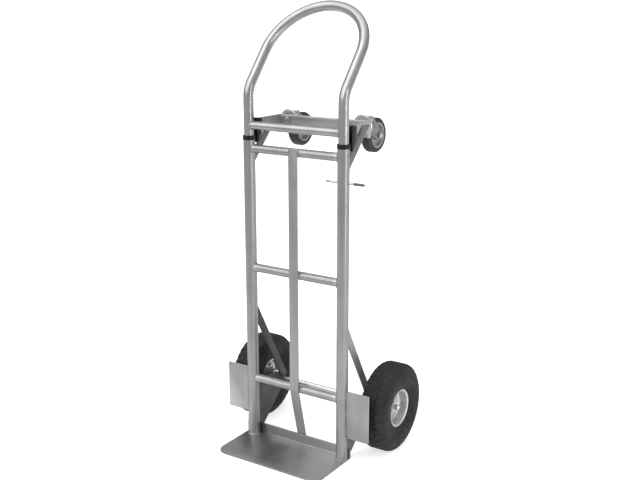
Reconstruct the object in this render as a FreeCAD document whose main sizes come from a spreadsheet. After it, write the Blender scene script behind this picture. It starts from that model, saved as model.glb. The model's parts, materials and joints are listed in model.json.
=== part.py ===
import FreeCAD, Part
import math
import os

import Sketcher
from FreeCAD import Placement, Rotation, Vector

# A two-position hand truck: upright it is a tall hand truck on two large pneumatic wheels, and laid
# on its back it is a four-wheeled platform cart.  Origin: on the floor, at the middle of the model's
# box.  +X is across the truck, -Y is the side that the toe plate points to, +Z is up.  Y distances in
# the names below are counted backwards from the plane that holds the two rails' axes.

SIZES = {
    # the two uprights and the handle that telescopes into them
    "rail_spacing": (313.0, "between the axes of the two rails"),
    "rail_radius": (16.7, "outside"),
    "rail_wall": (1.6, "of the rails and the crossbars"),
    "rail_top": (911.0, "above the floor"),
    "handle_radius": (14.5, "outside"),
    "handle_wall": (1.8, ""),
    "handle_foot": (775.0, "lower end of the handle inside the rails"),
    "handle_corner": (1042.0, "height where the legs turn backwards"),
    "handle_bend": (70.0, "centreline radius of that turn"),
    "handle_lean": (39.0, "degrees from the vertical above the turn"),
    "handle_straight": (132.0, "from the corner to the start of the half circle"),
    # crossbars, by the height of their axes
    "bar_radius": (12.0, "outside, all crossbars"),
    "lower_bar": (186.0, ""),
    "middle_bar": (529.0, ""),
    "top_bar": (877.0, ""),
    "handle_bar": (942.0, "the handle's own crossbar"),
    # centre strap
    "strap_width": (29.5, ""),
    "strap_thick": (4.0, ""),
    "strap_top": (889.0, ""),
    "strap_bend": (183.0, "height where the strap turns backwards"),
    "strap_shift": (2.5, "of its middle across the truck"),
    # toe plate
    "toe_reach": (156.0, "from the rails to the front edge"),
    "toe_width": (356.0, ""),
    "toe_thick": (4.0, ""),
    "toe_shift": (-4.0, "of its middle across the truck"),
    "toe_corner": (35.0, "radius of the front corners"),
    "toe_flange": (33.0, "top of the rear flange"),
    # wheel guards
    "guard_edge": (246.5, "outer edge, from the middle of the truck"),
    "guard_low": (74.0, ""),
    "guard_high": (217.0, ""),
    "guard_thick": (3.0, ""),
    # axle, brackets and braces
    "axle_back": (151.0, "from the rails to the axle"),
    "axle_radius": (8.0, ""),
    "axle_half": (257.0, "half the axle's length"),
    "bracket_thick": (3.0, ""),
    "brace_width": (25.0, ""),
    "brace_thick": (5.0, ""),
    "lower_brace_top": (416.0, "where the lower brace's rear edge meets the rail"),
    "lower_brace_end": (142.0, "height of its lower end"),
    "lower_brace_reach": (169.0, "how far back its rear edge ends"),
    "upper_brace_low": (830.0, "where the upper brace's rear edge meets the rail"),
    "upper_brace_end": (950.0, "height of its upper end"),
    "upper_brace_reach": (133.0, "how far back its rear edge ends"),
    # large wheels
    "wheel_out": (228.0, "from the middle of the truck to the wheel's mid-plane"),
    "tyre_radius": (129.5, "a ten-inch pneumatic tyre"),
    "tyre_half": (43.0, "half the tyre's width"),
    "tyre_wall": (6.0, "at the sides and under the tread"),
    "bead_half": (34.5, "half the tyre's width beside the rim's flange"),
    "bulge_low": (80.0, "radius where the sidewall becomes upright"),
    "bulge_high": (102.0, "radius where it leans inwards again"),
    "tread_half": (30.0, "half the width of the flat of the tread, before its edges are rounded"),
    "shoulder_round": (18.0, "of the tread's edges"),
    "sidewall_round": (34.0, "of the sidewall"),
    "rim_seat": (50.8, "outside radius of the bead seat"),
    "rim_flange": (56.5, "outside radius of the rim's flange"),
    "rim_half": (30.5, "half the width between the flanges"),
    "rim_sheet": (1.9, ""),
    "hub_radius": (20.0, ""),
    "hub_in": (43.0, "hub's reach inwards from the mid-plane"),
    "hub_out": (14.0, "hub's reach outwards"),
    "bearing_radius": (17.0, ""),
    "bearing_width": (11.0, ""),
    "rim_bolt_circle": (32.0, "radius of the rim bolts' circle"),
    "valve_radius": (4.0, ""),
    "valve_out": (6.8, "from the wheel's mid-plane to the stem"),
    # bracket and casters
    "deck_half": (153.9, "half the caster bracket's width"),
    "deck_sheet": (4.0, ""),
    "deck_back": (148.0, "rear face of the bracket"),
    "deck_front": (42.0, "front end of its arms"),
    "deck_low": (912.0, ""),
    "deck_high": (959.0, ""),
    "arm_low": (925.0, "lower edge of its arms"),
    "caster_out": (125.0, "from the middle of the truck to the swivel axis"),
    "caster_height": (944.5, "of the swivel axis"),
    "caster_back": (212.0, "from the rails to the caster's axle"),
    "caster_trail": (33.5, "from the swivel axis to the caster's axle"),
    "caster_radius": (49.5, "a four-inch wheel, a little worn"),
    "caster_half": (16.0, "half the tread's width"),
    "caster_shoulder": (9.0, "rounding of the tread's edges"),
    "race_radius": (30.0, ""),
    "fork_half": (20.5, "half the fork's width"),
    "fork_sheet": (3.0, ""),
    # sockets behind the rails, which take the handle when the truck is a cart
    "socket_back": (39.0, ""),
    "socket_slope": (28.0, "height of the sloping rear lower side"),
    "socket_bolt": (53.0, "from the rails to the bolt that holds the socket to the bracket"),
    "socket_bolt_height": (934.0, ""),
    "tongue_half": (8.0, "half the height of the tongue that the bolt goes through"),
    "socket_width": (34.0, ""),
    "socket_low": (892.0, ""),
    "socket_high": (960.0, ""),
    "socket_axis": (931.0, "height of the socket's bore"),
    "socket_bore": (14.9, "radius"),
    # release pin
    "pin_height": (809.0, ""),
    "pin_radius": (3.0, ""),
    "pin_inner": (100.0, "from the middle of the truck to its inner end"),
    "pin_outer": (222.0, "and to its outer end"),
    "grip_start": (189.0, "inner end of the pin's grip"),
    "grip_radius": (3.8, ""),
    # clearance between pieces that move on each other, and between pieces that are only laid together
    "running": (0.06, "radial, shafts in bores"),
    "easy": (0.5, "between pieces that pass each other"),
}

doc = FreeCAD.newDocument("HandTruck")
sheet = doc.addObject("Spreadsheet::Sheet", "Sizes")
for row, (alias, (value, note)) in enumerate(SIZES.items(), start=1):
    sheet.set(f"A{row}", alias)
    sheet.set(f"B{row}", str(value))
    sheet.set(f"C{row}", note)
    sheet.setAlias(f"B{row}", alias)
doc.recompute()


class Size:
    """A number together with the spreadsheet expression that gives it."""

    def __init__(self, value, text):
        self.value = float(value)
        self.text = text

    def __add__(self, other):
        other = size(other)
        return Size(self.value + other.value, f"({self.text} + {other.text})")

    def __sub__(self, other):
        other = size(other)
        return Size(self.value - other.value, f"({self.text} - {other.text})")

    def __mul__(self, other):
        other = size(other)
        return Size(self.value * other.value, f"({self.text} * {other.text})")

    def __truediv__(self, other):
        other = size(other)
        return Size(self.value / other.value, f"({self.text} / {other.text})")

    def __neg__(self):
        return self * -1.0

    def __radd__(self, other):
        return size(other) + self

    def __rsub__(self, other):
        return size(other) - self

    def __rmul__(self, other):
        return size(other) * self

    def of_angle(self, name):
        """sin, cos or tan of this number of degrees."""
        return Size(getattr(math, name)(math.radians(self.value)), f"{name}({self.text})")


def size(number):
    return number if isinstance(number, Size) else Size(number, repr(float(number)))


class Sheet:
    """The driving dimensions by name: s.rail_radius is the Size of that cell."""

    def __getattr__(self, alias):
        return Size(sheet.get(alias), f"Sizes.{alias}")


s = Sheet()

rail_half = s.rail_spacing / 2
# the rails' plane, so that the model's box is centred on the origin
rail_y = (s.toe_reach - s.axle_back - s.tyre_radius) / 2
caster_axle_height = s.caster_height - s.caster_trail
# places along X of the pieces that hold each large wheel on the axle
washer_thick = size(2.8)
washer_out = s.wheel_out + s.hub_out + s.easy
cotter_out = washer_out + washer_thick + 2.4
# places along Y of the swivels' layers
race_back = s.deck_back + s.fork_sheet
crown_front = race_back + 5
ball_circle = s.race_radius * 0.68
ball_radius = size(2.9)
grip_end = size(4.0)

ALONG_X = Rotation(Vector(0, 1, 0), 90)
ALONG_Y = Rotation(Vector(1, 0, 0), -90)
ALONG_Z = Rotation()
SIDES = {"left": -1.0, "right": 1.0}
subparts = []


# ---- helpers: every size that they are given ends up as an expression on the object --------------


def bind(thing, name, number):
    number = size(number)
    thing.setExpression(name, number.text)


def locate(thing, x, y, z):
    """Places a thing; y is counted from the rails' plane."""
    bind(thing, "Placement.Base.x", x)
    bind(thing, "Placement.Base.y", rail_y + y)
    bind(thing, "Placement.Base.z", z)
    return thing


def centre_on(thing, x, y, z):
    """Places a thing inside a local frame, where y is plain y."""
    bind(thing, "Placement.Base.x", x)
    bind(thing, "Placement.Base.y", y)
    bind(thing, "Placement.Base.z", z)
    return thing


def cylinder(name, radius, length, turn=ALONG_Z):
    thing = doc.addObject("Part::Cylinder", name)
    bind(thing, "Radius", radius)
    bind(thing, "Height", length)
    thing.Placement = Placement(Vector(), turn)
    return thing


def hexagon(name, across_corners, length, turn=ALONG_Z):
    thing = doc.addObject("Part::Prism", name)
    thing.Polygon = 6
    bind(thing, "Circumradius", size(across_corners) / 2)
    bind(thing, "Height", length)
    thing.Placement = Placement(Vector(), turn)
    return thing


def ring(name, major, minor, sweep=360.0, turn=ALONG_Z):
    thing = doc.addObject("Part::Torus", name)
    bind(thing, "Radius1", major)
    bind(thing, "Radius2", minor)
    bind(thing, "Angle3", sweep)
    thing.Placement = Placement(Vector(), turn)
    return thing


def box(name, length, width, height):
    thing = doc.addObject("Part::Box", name)
    bind(thing, "Length", length)
    bind(thing, "Width", width)
    bind(thing, "Height", height)
    return thing


def fuse(name, pieces):
    if len(pieces) == 1:
        return pieces[0]
    thing = doc.addObject("Part::MultiFuse", name)
    thing.Shapes = pieces
    return thing


def cut(name, base, tools):
    thing = doc.addObject("Part::Cut", name)
    thing.Base = base
    thing.Tool = fuse(name + "_tools", tools)
    return thing


def group(name, pieces):
    """Separate solids that are one sub-part, such as a set of bolts."""
    thing = doc.addObject("Part::Compound", name)
    thing.Links = pieces
    return thing


def subpart(thing, label):
    thing.Label = label
    subparts.append(thing)
    return thing


def origin_plane(body, role):
    return next(feature for feature in body.Origin.OriginFeatures if feature.Role == role)


def outline(body, role, corners):
    """A closed sketch with straight sides whose corners are all bound to the sheet."""
    sketch = body.newObject("Sketcher::SketchObject", body.Name + "_sketch")
    sketch.AttachmentSupport = [(origin_plane(body, role), "")]
    sketch.MapMode = "FlatFace"
    corners = [(size(across), size(up)) for across, up in corners]
    count = len(corners)
    for i, (across, up) in enumerate(corners):
        next_across, next_up = corners[(i + 1) % count]
        start = Vector(across.value, up.value, 0)
        end = Vector(next_across.value, next_up.value, 0)
        sketch.addGeometry(Part.LineSegment(start, end), False)
    for i in range(count):
        sketch.addConstraint(Sketcher.Constraint("Coincident", i, 2, (i + 1) % count, 1))
    for i, corner in enumerate(corners):
        for kind, number in zip(("DistanceX", "DistanceY"), corner):
            index = sketch.addConstraint(Sketcher.Constraint(kind, -1, 1, i, 1, number.value))
            sketch.setExpression(f"Constraints[{index}]", number.text)
    return sketch


def slab(name, role, corners, thickness):
    """A body padded from an outline, half its thickness each side of the plane."""
    body = doc.addObject("PartDesign::Body", name)
    sketch = outline(body, role, corners)
    pad = body.newObject("PartDesign::Pad", name + "_pad")
    pad.Profile = sketch
    pad.SideType = "Symmetric"
    bind(pad, "Length", thickness)
    doc.recompute()
    return body


def turned(name, corners):
    """A body turned about the X axis from an outline of (along the axis, radius)."""
    body = doc.addObject("PartDesign::Body", name)
    sketch = outline(body, "XY_Plane", corners)
    turn = body.newObject("PartDesign::Revolution", name + "_turn")
    turn.Profile = sketch
    turn.ReferenceAxis = (sketch, ["H_Axis"])
    turn.Angle = 360.0
    doc.recompute()
    return body


def round_edges(body, radius, chosen):
    """Rounds the edges of a body's last feature that `chosen` picks."""
    tip = body.Tip
    names = [f"Edge{i}" for i, edge in enumerate(tip.Shape.Edges, start=1) if chosen(edge)]
    fillet = body.newObject("PartDesign::Fillet", f"{body.Name}_round{len(body.Group)}")
    fillet.Base = (tip, names)
    bind(fillet, "Radius", radius)
    doc.recompute()
    return body


def runs_along(axis, where):
    """Picks straight edges parallel to an axis whose middle passes a test."""

    def chosen(edge):
        if edge.Curve.TypeId != "Part::GeomLine":
            return False
        if abs(abs(edge.Curve.Direction.dot(axis)) - 1) > 1e-6:
            return False
        return where(edge.CenterOfMass)

    return chosen


def goes_round(where):
    """Picks circular edges whose (place along X, radius) passes a test."""

    def chosen(edge):
        return edge.Curve.TypeId == "Part::GeomCircle" and where(edge.Curve.Center.x, edge.Curve.Radius)

    return chosen


def sleeve(name, outer, inner, length, turn=ALONG_Z):
    """A round tube: the solid cylinder less its bore, both in the same local place."""
    rod = cylinder(name + "_rod", outer, length, turn)
    bore = cylinder(name + "_bore", inner, length, turn)
    return cut(name, rod, [bore])


def bolt(name, radius, grip, head_corners, head_thick, turn):
    """A hexagon-headed bolt and its nut: the head ends where the grip starts."""
    direction = turn.multVec(Vector(0, 0, 1))
    shank = cylinder(name + "_shank", radius, grip + 1.4 * head_thick, turn)
    head = hexagon(name + "_head", head_corners, head_thick, turn)
    nut_blank = hexagon(name + "_nut_blank", head_corners, head_thick, turn)
    nut_bore = cylinder(name + "_nut_bore", radius + 0.02, head_thick, turn)
    offset_head = size(head_thick) * -1.0
    for piece, offset in ((head, offset_head), (nut_blank, size(grip)), (nut_bore, size(grip))):
        centre_on(piece, offset * direction.x, offset * direction.y, offset * direction.z)
    return [fuse(name + "_bolt", [shank, head]), cut(name + "_nut", nut_blank, [nut_bore])]


# ---- frame ---------------------------------------------------------------------------------------


def make_rail(side, sign):
    height = s.rail_top - s.toe_thick
    rail = sleeve(f"{side}_rail_tube", s.rail_radius, s.rail_radius - s.rail_wall, height)
    locate(rail, sign * rail_half, 0, s.toe_thick)
    if side == "right":
        pin_hole = cylinder("pin_hole", s.pin_radius + 0.3, s.rail_radius * 3, ALONG_X)
        locate(pin_hole, rail_half - s.rail_radius * 1.5, 0, s.pin_height)
        rail = cut("right_rail", rail, [pin_hole])
    return subpart(rail, f"{side}_rail")


def make_crossbar(name, height, post_radius):
    """A tube between two uprights, its ends coped to their round sides."""
    blank = sleeve(f"{name}_tube", s.bar_radius, s.bar_radius - s.rail_wall, s.rail_spacing, ALONG_X)
    locate(blank, -rail_half, 0, height)
    posts = []
    for side, sign in SIDES.items():
        post = cylinder(f"{name}_{side}_cope", post_radius, s.bar_radius * 4)
        locate(post, sign * rail_half, 0, height - s.bar_radius * 2)
        posts.append(post)
    return subpart(cut(name, blank, posts), name)


def make_strap():
    """A flat bar down the front of the crossbars, which turns back and ends behind the toe flange."""
    front = -(s.bar_radius + s.strap_thick)
    foot = s.rail_radius + 0.3 + s.toe_thick
    corners = [
        (front, s.strap_top),
        (front, s.strap_bend),
        (foot, s.toe_flange),
        (foot, s.toe_thick + 1),
        (foot + s.strap_thick, s.toe_thick + 1),
        (foot + s.strap_thick, s.toe_flange),
        (front + s.strap_thick, s.strap_bend),
        (front + s.strap_thick, s.strap_top),
    ]
    body = slab("centre_strap", "YZ_Plane", corners, s.strap_width)
    top = s.strap_top.value - 5
    turns = runs_along(Vector(1, 0, 0), lambda middle: s.toe_thick.value + 5 < middle.z < top)
    round_edges(body, s.strap_thick * 3, turns)
    return subpart(locate(body, s.strap_shift, 0, 0), "centre_strap")


def make_toe_plate():
    """An L of plate with round front corners; the rails stand on it, in front of its flange."""
    flange = s.rail_radius + 0.3
    corners = [
        (-s.toe_reach, 0),
        (flange + s.toe_thick, 0),
        (flange + s.toe_thick, s.toe_flange),
        (flange, s.toe_flange),
        (flange, s.toe_thick),
        (-s.toe_reach, s.toe_thick),
    ]
    body = slab("toe_plate", "YZ_Plane", corners, s.toe_width)
    front = runs_along(Vector(0, 0, 1), lambda middle: middle.y < -s.rail_radius.value)
    round_edges(body, s.toe_corner, front)
    fold = runs_along(Vector(1, 0, 0), lambda middle: middle.z < 0.1 and middle.y > 0)
    round_edges(body, s.toe_thick, fold)
    ears = runs_along(Vector(0, 1, 0), lambda middle: middle.z > s.toe_flange.value - 0.1)
    round_edges(body, s.toe_thick * 2, ears)
    return subpart(locate(body, s.toe_shift, 0, 0), "toe_plate")


def make_guard(side, sign):
    """A flat sheet that keeps the load off the wheel, welded to the outside of the rail."""
    inner = rail_half + s.rail_radius + 0.1
    corners = [
        (sign * inner, s.guard_low),
        (sign * s.guard_edge, s.guard_low),
        (sign * s.guard_edge, s.guard_high),
        (sign * inner, s.guard_high),
    ]
    body = slab(f"{side}_wheel_guard", "XZ_Plane", corners, s.guard_thick)
    outer = runs_along(Vector(0, 1, 0), lambda middle: abs(middle.x) > s.guard_edge.value - 1)
    round_edges(body, s.guard_thick, outer)
    return subpart(locate(body, 0, -s.guard_thick, 0), f"{side}_wheel_guard")


def make_axle_bracket(side, sign):
    """The plate that carries the axle, welded to the back of the rail and down to the toe plate."""
    front = s.rail_radius + 0.2
    nose = s.axle_back + 17
    floor_end = s.rail_radius * 2.8
    corners = [
        (front + s.toe_thick + 0.3, s.toe_thick * 2.4),
        (floor_end, s.toe_thick * 2.4),
        (nose - 3, s.tyre_radius - 13),
        (nose, s.tyre_radius),
        (nose - 3, s.tyre_radius + 20),
        (front, s.tyre_radius + 47),
        (front, s.toe_flange + 1),
        (front + s.toe_thick + 0.3, s.toe_flange + 1),
    ]
    body = slab(f"{side}_axle_bracket_plate", "YZ_Plane", corners, s.bracket_thick)
    tail = runs_along(Vector(1, 0, 0), lambda middle: middle.y > floor_end.value + 10)
    round_edges(body, 9, tail)
    locate(body, sign * (rail_half + s.brace_thick / 2), 0, 0)
    hole = cylinder(f"{side}_axle_hole", s.axle_radius + s.running, s.bracket_thick * 4, ALONG_X)
    locate(hole, sign * rail_half - s.bracket_thick * 2, s.axle_back, s.tyre_radius)
    return subpart(cut(f"{side}_axle_bracket", body, [hole]), f"{side}_axle_bracket")


def make_lower_brace(side, sign):
    """A flat bar from the back of the rail down to the axle bracket, cut upright at the rail."""
    front = s.rail_radius + 0.1
    run = s.lower_brace_reach - front
    fall = s.lower_brace_top - s.lower_brace_end
    upright = 1.145 * s.brace_width * fall / run
    level = upright * run / fall
    corners = [
        (front, s.lower_brace_top),
        (front, s.lower_brace_top - upright),
        (s.lower_brace_reach - level, s.lower_brace_end),
        (s.lower_brace_reach, s.lower_brace_end),
    ]
    body = slab(f"{side}_lower_brace", "YZ_Plane", corners, s.brace_thick)
    inside = rail_half - s.bracket_thick / 2 - 0.05
    return subpart(locate(body, sign * inside, 0, 0), f"{side}_lower_brace")


def make_upper_brace(side, sign):
    """A flat bar from the back of the rail up to the outside of the caster bracket's arm."""
    front = s.rail_radius + 0.2
    run = s.upper_brace_reach - front
    rise = s.upper_brace_end - s.upper_brace_low
    level = 1.39 * s.brace_width
    upright = level * rise / run
    corners = [
        (front, s.upper_brace_low),
        (s.upper_brace_reach, s.upper_brace_end),
        (s.upper_brace_reach - level, s.upper_brace_end),
        (front, s.upper_brace_low + upright),
    ]
    body = slab(f"{side}_upper_brace", "YZ_Plane", corners, s.brace_thick)
    outside = s.deck_half + s.brace_thick / 2 + 0.05
    return subpart(locate(body, sign * outside, 0, 0), f"{side}_upper_brace")


def make_caster_bracket():
    """A U of plate: the casters bolt to its back, and its arms reach forward to the sockets."""
    height = s.deck_high - s.deck_low
    outer = box("deck_outer", s.deck_half * 2, s.deck_back - s.deck_front, height)
    locate(outer, -s.deck_half, s.deck_front, s.deck_low)
    inner = box("deck_inner", (s.deck_half - s.deck_sheet) * 2, s.deck_back - s.deck_front, height * 2)
    locate(inner, s.deck_sheet - s.deck_half, s.deck_front - s.deck_sheet, s.deck_low - height / 2)
    arm_length = s.deck_back - s.deck_front - s.deck_sheet * 3
    under_arms = box("deck_under_arms", s.deck_half * 2 + 2, arm_length, height)
    locate(under_arms, -(s.deck_half + 1), s.deck_front - s.deck_sheet, s.arm_low - height)
    tools = [inner, under_arms]
    for side, sign in SIDES.items():
        king_hole = cylinder(f"{side}_king_hole", 6 + s.running, s.deck_sheet * 3, ALONG_Y)
        locate(king_hole, sign * s.caster_out, s.deck_back - s.deck_sheet * 2, s.caster_height)
        arm_hole = cylinder(f"{side}_arm_hole", 4 + s.running, s.deck_sheet * 3, ALONG_X)
        locate(arm_hole, sign * s.deck_half - s.deck_sheet * 1.5, s.socket_bolt, s.socket_bolt_height)
        tools += [king_hole, arm_hole]
    return subpart(cut("caster_bracket", outer, tools), "caster_bracket")


def make_socket_block(side, sign):
    """A moulding clipped round the top of the rail, with a blind bore behind it for the handle's leg."""
    front = s.rail_radius + 0.3
    corners = [
        (front, s.socket_low),
        (front + 2, s.socket_low),
        (s.socket_back, s.socket_low + s.socket_slope),
        (s.socket_back, s.socket_high),
        (front, s.socket_high),
    ]
    body = slab(f"{side}_socket_body", "YZ_Plane", corners, s.socket_width)
    rear_top = runs_along(Vector(1, 0, 0), lambda middle: middle.z > s.socket_high.value - 1)
    round_edges(body, 4, rear_top)
    locate(body, sign * rail_half, 0, 0)
    collar_low = s.rail_top - 10
    collar = cylinder(f"{side}_collar", s.rail_radius + 1.2, 12.5)
    locate(collar, sign * rail_half, 0, collar_low)
    tongue_thick = s.deck_half - s.deck_sheet - (rail_half - s.socket_width / 2) - 0.2
    tongue = box(f"{side}_tongue", tongue_thick, 27, s.tongue_half * 2)
    inboard = rail_half - s.socket_width / 2
    tongue_x = inboard if sign > 0 else -(inboard + tongue_thick)
    locate(tongue, tongue_x, s.socket_back - 1, s.socket_bolt_height - s.tongue_half)
    rail_seat = cylinder(f"{side}_rail_seat", s.rail_radius + 0.05, s.rail_top - collar_low + 0.1)
    locate(rail_seat, sign * rail_half, 0, collar_low)
    handle_way = cylinder(f"{side}_handle_way", s.handle_radius + 0.4, 20)
    locate(handle_way, sign * rail_half, 0, collar_low)
    bore = cylinder(f"{side}_socket_bore", s.socket_bore, s.socket_back - front - 4, ALONG_Y)
    locate(bore, sign * rail_half, front, s.socket_axis)
    bolt_hole = cylinder(f"{side}_tongue_hole", 4 + s.running, tongue_thick + 4, ALONG_X)
    locate(bolt_hole, tongue_x - 2, s.socket_bolt, s.socket_bolt_height)
    solid = fuse(f"{side}_socket_solid", [body, collar, tongue])
    tools = [rail_seat, handle_way, bore, bolt_hole]
    return subpart(cut(f"{side}_socket_block", solid, tools), f"{side}_socket_block")


def make_socket_bolts():
    """One bolt each side through the bracket's arm and the moulding's tongue, its head outside."""
    pieces = []
    for side, sign in SIDES.items():
        turn = Rotation(Vector(0, 1, 0), -90 * sign)
        grip = s.deck_half - (rail_half - s.socket_width / 2)
        for piece in bolt(f"{side}_socket_bolt", 4, grip, 15, 5, turn):
            placed = doc.addObject("Part::Compound", piece.Name + "_placed")
            placed.Links = [piece]
            locate(placed, sign * s.deck_half, s.socket_bolt, s.socket_bolt_height)
            pieces.append(placed)
    return subpart(group("socket_bolts", pieces), "socket_bolts")


# ---- axle and large wheels -----------------------------------------------------------------------


def make_axle():
    rod = cylinder("axle_rod", s.axle_radius, s.axle_half * 2, ALONG_X)
    locate(rod, -s.axle_half, s.axle_back, s.tyre_radius)
    holes = []
    for side, sign in SIDES.items():
        hole = cylinder(f"{side}_cotter_hole", 1.8, s.axle_radius * 4)
        locate(hole, sign * cotter_out, s.axle_back, s.tyre_radius - s.axle_radius * 2)
        holes.append(hole)
    return subpart(cut("axle", rod, holes), "axle")


def make_axle_washers():
    """A thick washer between each hub and its cotter pin."""
    pieces = []
    for side, sign in SIDES.items():
        washer = sleeve(f"{side}_washer", s.axle_radius * 2, s.axle_radius + 0.2, washer_thick, ALONG_X)
        start = washer_out if sign > 0 else -(washer_out + washer_thick)
        pieces.append(locate(washer, start, s.axle_back, s.tyre_radius))
    return subpart(group("axle_washers", pieces), "axle_washers")


def make_cotter_pins():
    """A split pin through each end of the axle: a shank with an eye at its top."""
    pieces = []
    for side, sign in SIDES.items():
        shank = cylinder(f"{side}_cotter_shank", 1.6, s.axle_radius * 2 + 9)
        locate(shank, sign * cotter_out, s.axle_back, s.tyre_radius - s.axle_radius - 6)
        eye = ring(f"{side}_cotter_eye", 3.2, 1.2, 360.0, ALONG_X)
        locate(eye, sign * cotter_out, s.axle_back, s.tyre_radius + s.axle_radius + 5.4)
        pieces.append(fuse(f"{side}_cotter_pin", [shank, eye]))
    return subpart(group("cotter_pins", pieces), "cotter_pins")


def make_axle_spacers():
    """A sleeve on the axle between each bracket and its wheel."""
    pieces = []
    start = rail_half + s.brace_thick / 2 + s.bracket_thick / 2 + 0.1
    end = s.wheel_out - s.hub_in - s.easy
    for side, sign in SIDES.items():
        spacer = sleeve(f"{side}_spacer", 12, s.axle_radius + 0.2, end - start, ALONG_X)
        pieces.append(locate(spacer, start if sign > 0 else -end, s.axle_back, s.tyre_radius))
    return subpart(group("axle_spacers", pieces), "axle_spacers")


def on_wheel(thing, sign, label):
    locate(thing, sign * s.wheel_out, s.axle_back, s.tyre_radius)
    return subpart(thing, label)


def make_tyre(side, sign):
    """A hollow tyre, open between its beads; the rim's flanges stand in the steps at its sides."""
    bead_edge = s.rim_half - 0.3
    half = [
        (bead_edge, s.rim_seat + 0.4),
        (bead_edge, s.rim_flange + 0.3),
        (s.bead_half, s.rim_flange + 0.3),
        (s.tyre_half, s.bulge_low),
        (s.tyre_half, s.bulge_high),
        (s.tread_half, s.tyre_radius),
    ]
    body = turned(f"{side}_tyre_outer", half + [(-along, radius) for along, radius in reversed(half)])
    low = s.bulge_low.value
    high = s.bulge_high.value
    shoulders = goes_round(lambda x, radius: radius > s.tyre_radius.value - 0.1)
    round_edges(body, s.shoulder_round, shoulders)
    bulge = goes_round(lambda x, radius: min(abs(radius - low), abs(radius - high)) < 0.1)
    round_edges(body, s.sidewall_round, bulge)
    mid_radius = s.tyre_radius - s.tyre_half
    cavity = ring(f"{side}_tyre_cavity", mid_radius, s.tyre_half - s.tyre_wall, 360.0, ALONG_X)
    return on_wheel(cut(f"{side}_tyre", body, [cavity]), sign, f"{side}_tyre")


def make_inner_tube(side, sign):
    """A thin ring of rubber inside the tyre, open where the valve stem enters it."""
    mid_radius = s.tyre_radius - s.tyre_half
    skin = s.tyre_half - s.tyre_wall - 1.8
    outer = ring(f"{side}_tube_outer", mid_radius, skin, 360.0, ALONG_X)
    inner = ring(f"{side}_tube_inner", mid_radius, skin - 2, 360.0, ALONG_X)
    stem_hole = cylinder(f"{side}_tube_stem_hole", s.valve_radius + 0.2, 20)
    centre_on(stem_hole, sign * s.valve_out, 0, s.rim_seat - 5)
    tube = cut(f"{side}_inner_tube", outer, [inner, stem_hole])
    return on_wheel(tube, sign, f"{side}_inner_tube")


def make_rim(side, sign, face, reach):
    """Half of a split rim: a flat web round the hub, a cone, the bead seat and the flange."""
    sheet_thick = s.rim_sheet
    inside_seat = s.rim_seat - sheet_thick
    profile = [
        (0.1, s.hub_radius + 0.1),
        (0.1, inside_seat - 4),
        (4.5, s.rim_seat),
        (s.rim_half, s.rim_seat),
        (s.rim_half, s.rim_flange),
        (s.rim_half + sheet_thick, s.rim_flange),
        (s.rim_half + sheet_thick, inside_seat),
        (5.4, inside_seat),
        (0.1 + sheet_thick, inside_seat - 4.2),
        (0.1 + sheet_thick, s.hub_radius + 0.1),
    ]
    body = turned(f"{side}_{face}_rim_half", [(reach * along, radius) for along, radius in profile])
    lip = goes_round(lambda x, radius: abs(x) > s.rim_half.value + 1 and radius < s.rim_seat.value)
    round_edges(body, sheet_thick * 0.8, lip)
    holes = []
    for i in range(4):
        angle = size(45.0 + 90.0 * i)
        hole = cylinder(f"{side}_{face}_rim_hole{i}", 4.1, 12, ALONG_X)
        across = s.rim_bolt_circle * angle.of_angle("cos")
        up = s.rim_bolt_circle * angle.of_angle("sin")
        holes.append(centre_on(hole, -6, across, up))
    if face == "outer":
        stem_hole = cylinder(f"{side}_rim_stem_hole", s.valve_radius + 0.3, 20)
        holes.append(centre_on(stem_hole, reach * s.valve_out, 0, s.rim_seat - 10))
    rim = cut(f"{side}_{face}_rim", body, holes)
    return on_wheel(rim, sign, f"{side}_{face}_rim")


def make_hub(side, sign):
    """The hub tube with a flange for the rim bolts and a bearing seat in each end."""
    flange_out = -(0.2 + s.rim_sheet)
    flange_in = flange_out - 3
    seat = s.bearing_radius
    outer_seat = s.hub_out - s.bearing_width
    inner_seat = s.bearing_width - s.hub_in
    profile = [
        (-s.hub_in, seat),
        (-s.hub_in, s.hub_radius),
        (flange_in, s.hub_radius),
        (flange_in, s.rim_bolt_circle + 8),
        (flange_out, s.rim_bolt_circle + 8),
        (flange_out, s.hub_radius),
        (s.hub_out, s.hub_radius),
        (s.hub_out, seat),
        (outer_seat, seat),
        (outer_seat, 12),
        (inner_seat, 12),
        (inner_seat, seat),
    ]
    body = turned(f"{side}_hub_body", [(sign * along, radius) for along, radius in profile])
    holes = []
    for i in range(4):
        angle = size(45.0 + 90.0 * i)
        hole = cylinder(f"{side}_hub_hole{i}", 4.1, 12, ALONG_X)
        across = s.rim_bolt_circle * angle.of_angle("cos")
        up = s.rim_bolt_circle * angle.of_angle("sin")
        holes.append(centre_on(hole, sign * flange_in - 6, across, up))
    return on_wheel(cut(f"{side}_hub", body, holes), sign, f"{side}_hub")


def make_bearings(side, sign):
    """The two ball bearings of a wheel, each drawn as one ring."""
    pieces = []
    width = s.bearing_width - 0.4
    for face, start in (("outer", s.hub_out - s.bearing_width + 0.2), ("inner", 0.2 - s.hub_in)):
        name = f"{side}_{face}_bearing"
        bearing = sleeve(name, s.bearing_radius - 0.02, s.axle_radius + s.running, width, ALONG_X)
        pieces.append(centre_on(bearing, start if sign > 0 else -(start + width), 0, 0))
    return on_wheel(group(f"{side}_bearings", pieces), sign, f"{side}_bearings")


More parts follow.
